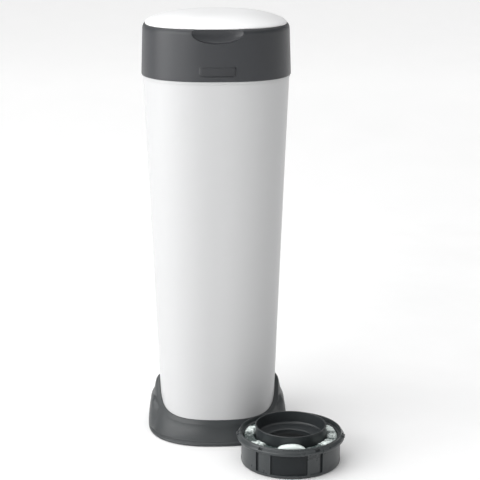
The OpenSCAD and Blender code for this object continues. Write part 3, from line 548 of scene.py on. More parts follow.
def dress(node, material, bevel):
    """Gives a CAD node its material, joined vertices, softened edges and smooth curves."""
    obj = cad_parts[node]
    obj.data.materials.clear()
    obj.data.materials.append(material)
    modify(obj, "WELD", merge_threshold=WELD * MM)
    modify(obj, "DECIMATE", decimate_type="DISSOLVE", angle_limit=math.radians(FLAT_A))
    if bevel:
        modify(obj, "BEVEL", width=bevel * MM, segments=2, limit_method="ANGLE",
               angle_limit=math.radians(BEVEL_A))
    modify(obj, "NODES", node_group=smooth_group)


DRESSED = {
    "floor_mat": (mat_rubber, 0.3),
    "cassette_tray": (inner_dark, 0.4),
    "petal_ring": (inner_dark, 0.3),
    "grip_petals": (seal_rubber, 0.2),
    "cutter_rail": (inner_dark, 0.25),
    "cutter_slider": (orange, 0.4),
    "cutter_blade": (blade_metal, 0),
    "lid_liner": (lid_white_lit, 0.4),
    "lid_seal": (seal_rubber, 0.2),
    "top_hinge_pin": (zinc, 0.2),
    "lid_hinge_pin": (zinc, 0.2),
    **{kind + "_screws": (zinc, 0.3) for kind in ("base", "tray", "ring", "rail", "lid")},
}
for node, (material, bevel) in DRESSED.items():
    dress(node, material, bevel)

# ---- Tube ----

TUBE_ROUND = 3
TUBE_LIP_ROUND = 0.7
FLOOR_CORE = 30


def tube_half(z):
    """Half-width of the tube's outside at the height z."""
    t = z / tube_top
    return tube_low_half + (tube_rim_half - tube_low_half) * t - 4 * TUBE_SAG * t * (1 - t)


def make_tube():
    floor = tube_low + TUBE_FLOOR_T
    outside = [(tube_half(z), z, 0) for z in steps(tube_low + 5, tube_top - 2, 40)]
    inside = [(tube_half(z) - TUBE_WALL, z, 0) for z in steps(tube_top - 2, floor + 5, 40)]
    lip = tube_half(tube_top)
    profile = eased(
        [(FLOOR_CORE, tube_low, 0), (tube_half(tube_low), tube_low, TUBE_ROUND)]
        + outside
        + [(lip, tube_top, TUBE_LIP_ROUND), (lip - TUBE_WALL, tube_top, TUBE_LIP_ROUND)]
        + inside
        + [(tube_half(floor) - TUBE_WALL, floor, TUBE_ROUND), (FLOOR_CORE, floor, 0)],
        loop=False,
    )
    rings = [plan_ring(half, z) for half, z in profile]
    obj = mesh_object("tube", loft(rings, low_tip=(0, 0, tube_low), high_tip=(0, 0, floor)))
    finish([obj], "bin", white, ["body_tube"])


make_tube()

# ---- Foot: f is the angle from the front, to either side ----

SHOULDER_H = 46
SCOOP_EDGE_H = 33
WING_H = 79
LEDGE_H = 6
BACK_LIP_H = 2
RIM_T = 0.9
FLARE = 15
WING_A = 90
WING_BACK_A = 20
TIP_ROUND_A = 4.5
RING_ROUND = 12
RING_ROUND_IN = 9
RING_LEAN = 3.4
RING_LEAN_H = 34
SWELL_A = 66
SWELL_TO_A = 80
RIM_STRIP_H = 6
RIM_STEP = 2
FOOT_LEDGE_W = 2.5
LEDGE_ROUND_IN = 5
FILLET_H = 5
FILLET_W = 3.2
LEDGE_SHARES = (0, 0.04, 0.12, 0.3, 0.4, 0.5, 0.6, 0.7, 0.78, 0.85, 0.92, 0.97, 1)
RING_SHARES = (0.02, 0.05, 0.1, 0.16, 0.24, 0.34, 0.44, 0.54, 0.63, 0.7, 0.76, 0.82, 0.87, 0.92,
               0.96, 0.99, 1)
FOOT_ROUND = 0.8
HOLLOW_H = 8
MAT_R = 62
MAT_RECESS = 1
SINK_R = 3.5
SINK_H = 2.1
FOOT_RIBS = 16
RIB_T = 1.8


def sharp_edge(f):
    """Height of the foot's upper edge, with a corner at the wing's tip."""
    if f <= WING_A:
        return SCOOP_EDGE_H + (WING_H - SCOOP_EDGE_H) * (f / WING_A) ** 5
    back = SHOULDER_H + BACK_LIP_H
    return back + (WING_H - back) * max(0, 1 - (f - WING_A) / WING_BACK_A) ** 1.6


def foot_edge(f):
    """Height of the foot's upper edge, rounded at the wing's tip."""
    spread = TIP_ROUND_A * max(0, 1 - abs(f - WING_A) / (2 * TIP_ROUND_A))
    return sum(sharp_edge(f + k * spread) for k in (-1, -0.6, -0.2, 0.2, 0.6, 1)) / 6


def ring_top(f):
    """Height of the outer ring, which stays under the strip along the foot's edge."""
    return SHOULDER_H if f > WING_A else min(SHOULDER_H, foot_edge(f) - RIM_STRIP_H - 1)


def ring_half(z, top, bend, inset):
    """Half-width of an upright ring that leans in and is rounded over at its top."""
    s = min(1, max(0, (z - top + bend) / bend))
    lean = RING_LEAN * (min(z, RING_LEAN_H) / RING_LEAN_H) ** 2
    return foot_half - lean - inset * (1 - math.sqrt(1 - s * s))


def skirt_half(z, f):
    """Half-width of the skirt that sweeps up to the tube, with a chamfer along its edge."""
    edge = foot_edge(f)
    t = min(1, max(0, (z - LEDGE_H) / (edge - LEDGE_H)))
    side = ease((f - 35) / 45)
    sweep = (FLARE - FOOT_LEDGE_W * (1 - side)) * (1 - t) ** (1.9 - 1.15 * side)
    chamfer = RIM_STEP * min(1, max(0, edge - z) / RIM_STRIP_H)
    return tube_half(z) + RIM_T + sweep + chamfer


def foot_skin(z, f):
    """Half-width under the shoulder, the ring swelling out of the skirt at the sides."""
    skirt = skirt_half(z, f)
    ring = ring_half(z, ring_top(f), RING_ROUND, RING_ROUND_IN)
    return skirt + ease((f - SWELL_A) / (SWELL_TO_A - SWELL_A)) * max(0, ring - skirt)


def fillet(up, gap):
    """How far the fill in an inside corner reaches out at the height up above the corner."""
    return min(gap, FILLET_W) * max(0, 1 - up / FILLET_H) ** 2


def foot_column(f):
    """Points of (half-width, height) up the foot's skin."""
    top, edge = ring_top(f), foot_edge(f)
    column = []
    for t in LEDGE_SHARES:
        z = foot_low + t * (LEDGE_H - foot_low)
        rounding = FOOT_ROUND * (1 - min(1, (z - foot_low) / FOOT_ROUND)) ** 2
        ledge = ring_half(z, LEDGE_H, 0.7 * LEDGE_H, LEDGE_ROUND_IN)
        column.append((max(ledge, foot_skin(z, f)) - rounding, z))
    gap = max(0, column[-1][0] - foot_skin(LEDGE_H, f))
    for t in RING_SHARES:
        z = LEDGE_H + t * (top - LEDGE_H)
        column.append((foot_skin(z, f) + fillet(z - LEDGE_H, gap), z))
    strip_low = max(top + 1, edge - RIM_STRIP_H)
    gap = column[-1][0] - skirt_half(top, f)
    for z in steps(top, strip_low, 14)[1:] + steps(strip_low, edge - 0.5, 8)[1:]:
        column.append((skirt_half(z, f) + fillet(z - top, gap), z))
    column += [(skirt_half(edge, f) - 0.2, edge - 0.12), (skirt_half(edge, f) - 0.55, edge)]
    return column


def foot_ribs(hollow):
    """Upright ribs across the hollow under the foot's edge."""
    inside, outside, low = tube_low_half + 3.5, foot_half - 2.8, foot_low + 0.2
    side = [(inside, low), (outside, low), (outside, foot_low + 1.2),
            (foot_half - 10.8, hollow + 0.3), (inside + 1, hollow + 0.3)]
    ribs = []
    for a in turns_of(2 * FOOT_RIBS)[1::2]:
        tips = [((foot_half - 8) * reach(a), y, foot_low + 3) for y in (-RIB_T / 2, RIB_T / 2)]
        rings = [[(half * reach(a), tip[1], z) for half, z in side] for tip in tips]
        ribs.append(moved(loft(rings, low_tip=tips[0], high_tip=tips[1]), turn=a))
    return joined(*ribs)


def make_foot():
    angles = turns_of(SIDES)
    from_front = [abs((a + 90 + 180) % 360 - 180) for a in angles]
    columns = [foot_column(f) for f in from_front]
    skin = [[polar(half * reach(a), a, z) for (half, z), a in zip(row, angles)]
            for row in zip(*columns)]
    inside = []
    for t in (1, 0.66, 0.33, 0):
        levels = [tube_low + t * (foot_edge(f) - 0.3 - tube_low) for f in from_front]
        inside.append([polar((tube_half(z) + SEAT_GAP) * reach(a), a, z)
                       for z, a in zip(levels, angles)])
    recess = foot_low + MAT_RECESS
    hollow = foot_low + HOLLOW_H
    under = [
        round_ring(MAT_R + SEAT_GAP, recess),
        round_ring(MAT_R + SEAT_GAP, foot_low),
        plan_ring(tube_low_half + 4, foot_low),
        plan_ring(tube_low_half + 5, hollow),
        plan_ring(foot_half - 11, hollow),
        plan_ring(foot_half - 3, foot_low + 1),
        plan_ring(foot_half - 3, foot_low),
    ]
    shape = loft(under + skin + inside, low_tip=(0, 0, recess), high_tip=(0, 0, tube_low))
    obj = mesh_object("foot", shape)
    sink_low, sink_high = -2, foot_low + SINK_H
    sink = loft([round_ring(SINK_R, z, turns_of(36)) for z in (sink_low, sink_high)],
                low_tip=(0, 0, sink_low), high_tip=(0, 0, sink_high))
    combine(obj, at_corners("base_screws", sink), "DIFFERENCE")
    ribs = mesh_object("foot_ribs", foot_ribs(hollow))
    finish([obj, ribs], "bin", foot_dark, ["base_foot"])


make_foot()

# ---- Hinge knuckles ----

KNUCKLE_W = 12
LID_MID_W = 20


def barrel(x, w, hinge):
    """A hinge barrel with its bore and softly chamfered ends."""
    bore, cut = PIN_R + PIN_GAP, 0.5
    profile = [(bore, x - w / 2), (BARREL_R - cut, x - w / 2), (BARREL_R, x - w / 2 + cut),
               (BARREL_R, x + w / 2 - cut), (BARREL_R - cut, x + w / 2), (bore, x + w / 2)]
    return bar(profile, hinge_y[hinge], hinge_z[hinge])


top_mid_w = hinge_l["top"] - 4 * KNUCKLE_W - 4 * RUN_GAP
lid_arm_w = (hinge_l["lid"] - 2 * KNUCKLE_W - LID_MID_W - 4 * RUN_GAP) / 2
lid_arm_x = (LID_MID_W + lid_arm_w) / 2 + RUN_GAP

# ---- Collar ----

SPIGOT_H = 7
SPIGOT_WALL = 2.4
SKIRT_H = 16
CATCH_GAP_LOW = 1
CATCH_GAP_HIGH = 4.6
spigot_half = band_low_half - BAND_WALL - 2


def make_collar():
    skirt_low = tube_top - SKIRT_H
    skirt = tube_half(skirt_low) - TUBE_WALL - SEAT_GAP
    skirt_top = tube_half(tube_top) - TUBE_WALL - SEAT_GAP
    spigot_top = band_low + SPIGOT_H
    profile = eased([
        (skirt, skirt_low, 0.5), (skirt_top, tube_top, 0),
        (flange_half, tube_top, 0.6), (flange_half, band_low, 0.6),
        (spigot_half, band_low, 0.3), (spigot_half, spigot_top, 0.6),
        (spigot_half - SPIGOT_WALL, spigot_top, 0.6),
        (skirt - SPIGOT_WALL, tube_top, 1), (skirt - SPIGOT_WALL, skirt_low, 0.5),
    ])
    obj = mesh_object("collar", loft([plan_ring(half, z) for half, z in profile], loop=True))
    window = slab(0, CATCH_W + 2, (-spigot_half - 1, -spigot_half + SPIGOT_WALL + 1),
                  (band_low + CATCH_GAP_LOW, band_low + CATCH_GAP_HIGH))
    combine(obj, window, "DIFFERENCE")
    parts = []
    mid = (top_mid_w + KNUCKLE_W) / 2 + RUN_GAP
    root = front_of(flange_half - 2, mid + KNUCKLE_W / 2)
    for x in (-mid, mid):
        parts.append(barrel(x, KNUCKLE_W, "top"))
        parts.append(slab(x, KNUCKLE_W, (root, hinge_y["top"]), (tube_top, band_low)))
    knuckles = mesh_object("collar_knuckles", joined(*parts))
    finish([obj, knuckles], "bin", white, ["top_collar"])


make_collar()

# ---- Top housing ----

SCOOP_W = 70
SCOOP_H = 14.5
SCOOP_D = 8
SCOOP_DOWN = 4
SCOOP_WALL = 1.6
BUTTON_W = 47
BUTTON_H = 10.5
BUTTON_ROUND = 2.4
BUTTON_GAP = 0.55
BUTTON_LIFT = 1.25
RIM_WALL = 2.4
RIM_ROOF = 2.6
INNER_BEND_H = 8
INNER_BEND_IN = 1.4
EDGE_SHARES = (0.12, 0.25, 0.38, 0.5, 0.6, 0.7, 0.78, 0.85, 0.91, 0.96, 0.99)
TRAY_BOSS_R = 4.5
TRAY_BOSS_H = 12
button_z = band_low + SPIGOT_H + BUTTON_LIFT + BUTTON_H / 2


def band_half(h):
    """Half-width of the band's outside at the height h above its lower edge."""
    s = max(0, h - (BAND_H - BAND_EDGE_H)) / BAND_EDGE_H
    lean = (band_top_half - band_low_half) * min(1, h / (BAND_H - BAND_EDGE_H))
    return band_low_half + lean - BAND_EDGE_IN * (1 - math.sqrt(max(0, 1 - s * s)))


def scoop_form(grow):
    """A lens-shaped form centred on the band's front near the rim."""
    half_x, half_y, half_z = SCOOP_W / 2 + grow, SCOOP_D + grow, SCOOP_H + grow
    rings = []
    for up in steps(-90, 90, 56)[1:-1]:
        ring = [polar(cosd(up) * reach(a), a, half_z * sind(up)) for a in turns_of(112)]
        rings.append([(x * half_x, y * half_y, z) for x, y, z in ring])
    form = loft(rings, low_tip=(0, 0, -half_z), high_tip=(0, 0, half_z))
    return moved(form, (0, -band_half(BAND_H - SCOOP_DOWN), rim - SCOOP_DOWN))


def face_plate(w, h, cut, y_of, back):
    """A rounded plate on the band's front, its face at y_of(x, z) and its back at y = back."""
    corners = [(-w / 2, -h / 2), (w / 2, -h / 2), (w / 2, h / 2), (-w / 2, h / 2)]
    edge = eased([(x, z, cut) for x, z in corners], steps=8)
    outline = []
    for i, (x, z) in enumerate(edge):
        nx, nz = edge[(i + 1) % len(edge)]
        n = max(1, round(math.hypot(nx - x, nz - z) / 1.5))
        outline += [(x + (nx - x) * k / n, z + (nz - z) * k / n) for k in range(n)]
    soft = 0.6
    levels = [(share, share, 0) for share in (0.1, 0.3, 0.5, 0.7, 0.85)]
    levels += [(1 - 2 * inset / w, 1 - 2 * inset / h, deep)
               for inset, deep in ((soft, 0), (0.5 * soft, 0.1), (0.2 * soft, 0.25), (0, soft))]
    rings = [[(x * kx, y_of(x * kx, z * kz) + deep, button_z + z * kz) for x, z in outline]
             for kx, kz, deep in levels]
    rings.append([(x, back, button_z + z) for x, z in outline])
    return loft(rings, low_tip=(0, y_of(0, 0), button_z), high_tip=(0, back, button_z))


def band_web(x, w, hinge, side):
    """The web from the band's wall to a hinge barrel, above the barrel's axis or below it."""
    z = hinge_z[hinge]
    low_z, high_z = (z, z + 2 * BARREL_R) if side > 0 else (z - 1.6 * BARREL_R, z)
    root = front_of(band_top_half - 1.5, abs(x) + w / 2)
    tip = hinge_y[hinge] + (0.5 * BARREL_R if side > 0 else 0)
    return slab(x, w, (root, tip), (low_z, high_z), 0.5)


def band_profile():
    """The band's section: up its outside, over the rim, round the ledge and down its inside."""
    inner_top = band_top_half - BAND_WALL
    ledge_in, ledge_out = top_open_half - LEDGE_W, top_open_half + RIM_WALL
    ledge_low = deck_low - RIM_WALL
    roof = rim - RIM_ROOF
    edge_low = BAND_H - BAND_EDGE_H
    heights = steps(2, edge_low, 20) + [edge_low + s * BAND_EDGE_H for s in EDGE_SHARES]
    return eased([
        (band_low_half - 0.1, band_low, 0.7), *[(band_half(h), band_low + h, 0) for h in heights],
        (band_half(BAND_H), rim, 0), (top_open_half, rim, 0.8),
        (top_open_half, deck_low, 0.3), (ledge_in, deck_low, 0.6),
        (ledge_in, ledge_low, 0.6), (ledge_out, ledge_low, 0.3),
        (ledge_out, roof, 1), (inner_top - INNER_BEND_IN, roof, 1),
        (inner_top, rim - INNER_BEND_H, 1), (band_low_half - BAND_WALL, band_low, 0.5),
    ])


def scoop_pocket():
    """The scoop's wall, kept inside the band's outside."""
    pocket = mesh_object("pocket", scoop_form(SCOOP_WALL))
    low, high = rim - SCOOP_DOWN - SCOOP_H - 5, rim - 1
    levels = ((1.5, low), (1.5, rim - 5), (5, high))
    core = [plan_ring(band_top_half - inset, z) for inset, z in levels]
    combine(pocket, loft(core, low_tip=(0, 0, low), high_tip=(0, 0, high)), "INTERSECT")
    return pocket


def make_housing():
    obj = mesh_object("band", loft([plan_ring(half, z) for half, z in band_profile()], loop=True))
    combine(obj, scoop_pocket(), "UNION")
    combine(obj, scoop_form(0), "DIFFERENCE")
    window = face_plate(BUTTON_W + 2 * BUTTON_GAP, BUTTON_H + 2 * BUTTON_GAP,
                        BUTTON_ROUND + BUTTON_GAP,
                        lambda x, z: -band_low_half - 2, -band_low_half + BAND_WALL + 3)
    combine(obj, window, "DIFFERENCE")
    reliefs = []
    r, w = BARREL_R + RUN_GAP, lid_arm_w / 2 + RUN_GAP
    for x in (-lid_arm_x, lid_arm_x):
        ends = [(0.01, x - w), (r, x - w), (r, x + w), (0.01, x + w)]
        reliefs.append(bar(ends, hinge_y["lid"], hinge_z["lid"]))
    combine(obj, joined(*reliefs), "DIFFERENCE")
    parts = []
    for hinge, mid_w, up in (("top", top_mid_w, 1), ("lid", LID_MID_W, -1)):
        end = (hinge_l[hinge] - KNUCKLE_W) / 2
        for x, w in ((0, mid_w), (-end, KNUCKLE_W), (end, KNUCKLE_W)):
            parts += [barrel(x, w, hinge), band_web(x, w, hinge, up)]
    knuckles = mesh_object("band_knuckles", joined(*parts))
    boss = tube_of(SCREW_BORE_R, TRAY_BOSS_R, deck_low - TRAY_BOSS_H, deck_low)
    bosses = mesh_object("band_bosses", at_corners("tray_screws", boss))
    finish([obj, knuckles, bosses], "housing", dark, ["top_housing"])


make_housing()

# ---- Release button ----

SPRING_X = 18
SPRING_R = 2.6
SPRING_WIRE = 0.8
SPRING_TURNS = 5
COIL_STEPS = 28
WIRE_SIDES = 10
BUTTON_WALL = 2
BUTTON_FLANGE = 3
FLANGE_W = BUTTON_W + 2 * BUTTON_FLANGE


def band_inner(h):
    """Half-width of the band's inside at the height h above its lower edge."""
    return band_low_half - BAND_WALL + (band_top_half - band_low_half) * h / (BAND_H - INNER_BEND_H)


flange_high = button_z + BUTTON_H / 2 + BUTTON_FLANGE
button_back = RUN_GAP - front_of(band_inner(flange_high - band_low), FLANGE_W / 2)


def make_button():
    plate = face_plate(BUTTON_W, BUTTON_H, BUTTON_ROUND,
                       lambda x, z: -front_of(band_low_half + 0.2, x), button_back + 1)
    flange_low = band_low + SPIGOT_H + RUN_GAP
    arm_front = -(spigot_half - SPIGOT_WALL) + SEAT_GAP
    arm_back, arm_top = arm_front + BUTTON_WALL, flange_low + BUTTON_WALL
    parts = [
        plate,
        slab(0, FLANGE_W, (button_back, button_back + BUTTON_WALL), (flange_low, flange_high)),
        slab(0, CATCH_W, (button_back, arm_back), (flange_low, arm_top)),
        slab(0, CATCH_W, (arm_front, arm_back), (band_low + 1.6, arm_top)),
    ]
    for x in (-SPRING_X, SPRING_X):
        post = tube_of(0.01, SPRING_R - SPRING_WIRE - SEAT_GAP, 0, 4, 24)
        points = [(x + px, button_back + pz, button_z + py) for px, py, pz in post[0]]
        parts.append((points, [tuple(reversed(face)) for face in post[1]]))
    obj = mesh_object("button", joined(*parts))
    finish([obj], "button", button_shaded, ["release_button"])


def coil_of(x, y0, y1):
    """A wire coil along Y with closed ends."""
    wire = SPRING_WIRE / 2
    r = SPRING_R - wire
    rings = []
    for i in range(SPRING_TURNS * COIL_STEPS + 1):
        a = 360 * i / COIL_STEPS
        # The end turns lie flat
        t = min(1, max(0, (i / COIL_STEPS - 0.75) / (SPRING_TURNS - 1.5)))
        y = y0 + wire + (y1 - y0 - SPRING_WIRE) * t
        rings.append([(x + (r + wire * cosd(b)) * cosd(a), y + wire * sind(b),
                       button_z + (r + wire * cosd(b)) * sind(a)) for b in turns_of(WIRE_SIDES)])
    low, high = [tuple(sum(values) / WIRE_SIDES for values in zip(*ring))
                 for ring in (rings[0], rings[-1])]
    return loft(rings, low_tip=low, high_tip=high)


def make_springs():
    low, high = span("button_springs", 1)
    coils = [coil_of(x, low, high) for x in (-SPRING_X, SPRING_X)]
    obj = mesh_object("button_coils", joined(*coils))
    finish([obj], "housing", spring_wire, ["button_springs"])
    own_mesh(obj)


make_button()
make_springs()

# ---- Lid ----

DOME_IN = 1.6
ARM_ROOT = 3.6
ARM_T = 1.6
LID_BOSS_R = 4


def dome(s):
    """Height of the lid's outside at the share s of its half-width."""
    return rim + LID_EDGE_H + (LID_RISE - LID_EDGE_H) * (1 - s**DOME_POWER)


def make_lid():
    dome_half = lid_half - DOME_IN
    inner_half = lid_half - LID_WALL
    shares = [i / 40 for i in range(1, 40)]
    profile = [(s * inner_half, dome(s) - LID_WALL, 0) for s in shares]
    profile += [(inner_half, lid_low, 0.3), (lid_half - 0.4, lid_low, 0.4),
                (lid_half, lid_low + 0.7, 0.6), (lid_half, rim + LID_EDGE_H - 1.9, 1.6),
                (dome_half - 1.2, dome(0.985) - 0.15, 2.6)]
    profile += [(s * dome_half, dome(s), 0) for s in [0.96, 0.94, 0.92] + shares[::-1][4:]]
    rings = [plan_ring(half, z) for half, z in eased(profile, loop=False, steps=6)]
    shape = loft(rings, low_tip=(0, 0, dome(0) - LID_WALL), high_tip=(0, 0, dome(0)))
    obj = mesh_object("lid", shape, smooth=50)
    parts = []
    for x in (-lid_arm_x, lid_arm_x):
        parts.append(barrel(x, lid_arm_w, "lid"))
        parts.append(slab(x, lid_arm_w, (lid_half - ARM_ROOT, hinge_y["lid"]),
                          (lid_low, lid_low + ARM_T)))
    arms = mesh_object("lid_arms", joined(*parts))
    share = math.hypot(*corners_of("lid_screws")[0]) / (reach(45) * lid_half)
    boss = tube_of(SCREW_BORE_R, LID_BOSS_R, lid_low + 2, dome(share) - LID_WALL + 0.3)
    bosses = mesh_object("lid_bosses", at_corners("lid_screws", boss))
    finish([obj, arms, bosses], "lid", lid_white_lit, ["lid_cap"])


make_lid()

# ---- Refill cassette ----

RIB_FROM_A = 21.3
RIB_TO_A = 24.7
STRIP_FROM_A = 37.8
STRIP_TO_A = 41
PANEL_D = 0.9
PANEL_LOW = 5
SLOT_A = 32
SLOT_W = 6.8
SLOT_H = 3
CLIP_A = 84
CLIP_W = 7
CLIP_H = 3.6
GROUPS = (-90, 30, 150)
GROUP_EDGES = (RIB_FROM_A, RIB_TO_A, STRIP_FROM_A, STRIP_TO_A)
EDGE_A = 0.14
CUP_ROUND = 3
SLOT_UP = 4
SLOT_REACH = 12
CLIP_DOWN = 2.4
FUNNEL_DOWN = 18


def from_group(a):
    """Angle from the middle of the nearest group of panels, the first one at the front."""
    return abs((a + 90 + 60) % 120 - 60)


def panel_depth(a):
    """How deep the panels lie in the cup's outside at the angle a."""
    m = from_group(a)
    if m < RIB_FROM_A or STRIP_FROM_A < m < STRIP_TO_A:
        return 2 * PANEL_D
    return PANEL_D if RIB_TO_A < m < STRIP_FROM_A else 0


def cassette_angles():
    """Even steps round the cup with a pair of extra ones at each edge of a panel."""
    angles = {round(a, 3) for a in turns_of(SIDES)}
    for group in GROUPS:
        for edge in GROUP_EDGES:
            for side in (-1, 1):
                a = (group + side * edge) % 360
                angles = {b for b in angles if abs((b - a + 180) % 360 - 180) > 0.3}
                angles |= {round(a - EDGE_A, 3) % 360, round(a + EDGE_A, 3) % 360}
    return sorted(angles)


def at_cassette(shape):
    """A shape turned with the cassette and moved to its place."""
    return moved(shape, (*cassette_at, 0), CASSETTE_TURN)


def place_cassette(obj):
    """Does the same to a finished mesh."""
    x, y = cassette_at
    obj.data.transform(Matrix.Translation((x * MM, y * MM, 0))
                       @ Matrix.Rotation(math.radians(CASSETTE_TURN), 4, "Z"))


def make_cup():
    angles = cassette_angles()
    inner = cup_r - 2 * CUP_WALL
    core = mouth_r - CUP_WALL
    heel = [(cup_r - CUP_ROUND * (1 - sind(t)), CUP_ROUND * (1 - cosd(t)))
            for t in range(0, 91, 15)]
    low_rows = [(core, 0), *heel, (cup_r, PANEL_LOW - 0.25)]
    panel_rows = [(PANEL_LOW, 0.5), (PANEL_LOW + 0.15, 1), (rim_low, 1)]
    inner_rows = [(inner, rim_low), (inner, CUP_WALL), (core, CUP_WALL)]
    rings = [round_ring(r, z, angles) for r, z in low_rows]
    rings += [[polar(cup_r - share * panel_depth(a), a, z) for a in angles]
              for z, share in panel_rows]
    rings += [round_ring(r, z, angles) for r, z in inner_rows]
    cup = mesh_object("cup", at_cassette(loft(rings, loop=True)))
    # The deeper panels get painted shade, a darker tint and less gloss, on the two rings that are
    # at their full depth
    sunk = [[0] * len(angles)] * len(rings)
    first = len(low_rows) + 1
    for row in (first, first + 1):
        sunk[row] = [max(0, panel_depth(a) / PANEL_D - 1) for a in angles]
    mark_points(cup, "sunk", [value for row in sunk for value in row])
    finish([cup], "cassette", cup_painted_shade, ["cassette_cup"])


def make_cassette_rim():
    inner = cup_r - 2 * CUP_WALL
    profile = eased([
        (inner, rim_low, 0.3), (lip_r - 0.8, rim_low, 0.3), (lip_r, rim_low + 0.8, 0.5),
        (lip_r, rim_low + 3.4, 1.2), (lip_r - 1.2, rim_low + 5, 1),
        (bead_r + 0.4, cup_h - 2.2, 1), (bead_r + 0.3, cup_h - 0.6, 0.5),
        (bead_r - 0.5, cup_h, 0.5), (bead_r - 1.3, cup_h - 0.5, 0.5),
        (bead_r - 1.8, cup_h - 3, 0.8), (bead_r - 2.2, cup_h - 6, 0.5), (inner, cup_h - 7, 0.5),
    ])
    rim_piece = mesh_object("cassette_lip", loft([round_ring(r, z) for r, z in profile], loop=True))
    slot_low = rim_low + SLOT_UP
    slot = slab(bead_r + SLOT_REACH / 2, SLOT_REACH, (-SLOT_W / 2, SLOT_W / 2),
                (slot_low, slot_low + SLOT_H), 0.3)
    slots = [moved(slot, turn=group + side * SLOT_A) for group in GROUPS for side in (-1, 1)]
    combine(rim_piece, joined(*slots), "DIFFERENCE")
    place_cassette(rim_piece)
    clip_high = cup_h - CLIP_DOWN
    clip_in, clip_out = bead_r - 0.5, lip_r + 1
    clip = slab((clip_in + clip_out) / 2, clip_out - clip_in, (-CLIP_W / 2, CLIP_W / 2),
                (clip_high - CLIP_H, clip_high), 0.6)
    clips = [moved(clip, turn=side * CLIP_A - 90) for side in (-1, 1)]
    clip_piece = mesh_object("cassette_clips", at_cassette(joined(*clips)))
    finish([rim_piece, clip_piece], "cassette", cassette_dark, ["cassette_rim"])


def make_mouth():
    ledge = mouth_h - FUNNEL_DOWN
    core, neck_out = mouth_r - CUP_WALL, neck_r + CUP_WALL
    profile = eased([
        (core, CUP_WALL, 0.3), (mouth_out, CUP_WALL, 0.3),
        (mouth_out, mouth_h - 1.6, 0.4), (mouth_out + 0.5, mouth_h - 1, 0.4),
        (mouth_out + 0.2, mouth_h, 0.4), (mouth_r, mouth_h, 0.6),
        (mouth_r, ledge + 2.5, 1.5), (mouth_r - 2, ledge + 0.6, 1.5),
        (neck_r + 1, ledge - 2, 1), (neck_r, ledge - 3, 1), (neck_r, ledge - 9, 0.5),
        (neck_out, ledge - 9, 0.5), (neck_out, ledge - 3.6, 1),
        (core - 1, ledge - 1.4, 1), (core, ledge - 2.4, 0.5),
    ])
    rings = [round_ring(r, z) for r, z in profile]
    mouth = mesh_object("mouth", at_cassette(loft(rings, loop=True)))
    finish([mouth], "cassette", mouth_dark, ["cassette_mouth"])


make_cup()
make_cassette_rim()
make_mouth()

# ---- Film ----

FILM_TOP = cup_h - 5
FILM_HIGH = cup_h - 3
FILM_LIE = 1.4
AROUND_R = 56
# Where the film lies gathered and milky: angle to the right of the front, spread and strength
GATHERS = ((-103, 13, 1), (-47, 11, 0.95), (58, 12, 0.95), (88, 9, 0.55), (112, 12, 0.9),
           (150, 13, 0.7), (-160, 14, 0.8))
# Middle of the loose end and half its angle
TAB_A = 3
TAB_HALF_A = 18


def gathered(a):
    """How much the film is bunched at the angle a from the cassette's front."""
    total = 0
    for centre, spread, strength in GATHERS:
        off = (a - centre + 180) % 360 - 180
        total += strength * math.exp(-((off / spread) ** 2))
    return min(1, total)


def field(seed, *place):
    """A smooth noise at a place in the plane, another one for each seed."""
    return noise.noise(Vector((*place, seed)))


def make_film():
    around, across = 720, 34
    points, amounts = [], []
    for a in turns_of(around):
        from_front = (a + 90 + 180) % 360 - 180
        g = gathered(from_front)
        for j in range(across + 1):
            t = j / across
            r = film_in + (film_out - film_in) * t
            x, y = r * cosd(a), r * sind(a)
            along = math.radians(a) * AROUND_R
            pleat = field(3.1, along * 0.32, r * 0.1)
            crease = field(9.4, along * 0.9, r * 0.35)
            sharp = 1 - abs(field(5.0, x * 0.16, y * 0.16) * 2)
            fine = field(1.0, x * 0.55, y * 0.55)
            edge = min(1, 4 * t, 4 * (1 - t))
            height = -2.2 + 3.4 * g + (1.3 + 1.1 * g) * pleat
            height += 0.8 * crease + 1.2 * g * (sharp - 0.5) + 0.4 * fine
            # It lies lower under its own loose end
            beside_tab = ease((abs(from_front - TAB_A) - 20) / 8)
            top = -FILM_LIE + (FILM_HIGH - FILM_TOP + FILM_LIE) * beside_tab
            height = min(top, height) * edge - 3 * (1 - edge) ** 2
            points.append((x, y, FILM_TOP + height))
            amount = g * (0.55 + 0.63 * (pleat + 0.5) + 0.5 * crease) + 0.12 * sharp
            amounts.append(min(1, max(0, amount)))
    row = across + 1
    faces = []
    for i in range(around):
        a, b = i * row, (i + 1) % around * row
        faces += [(a + j, a + j + 1, b + j + 1, b + j) for j in range(across)]
    low = len(points)
    for a in turns_of(around):
        points += [polar(r, a, CUP_WALL + SEAT_GAP) for r in (film_in, film_out)]
        amounts += [0.2, 0.2]
    for i in range(around):
        a, b = low + 2 * i, low + (i + 1) % around * 2
        top_a, top_b = i * row, (i + 1) % around * row
        faces += [(top_a, top_b, b, a), (top_a + across, a + 1, b + 1, top_b + across),
                  (a, b, b + 1, a + 1)]
    obj = mesh_object("film", at_cassette((points, faces)), smooth=70)
    mark_points(obj, "gathered", amounts)
    finish([obj], "cassette", film, ["film_pack"])


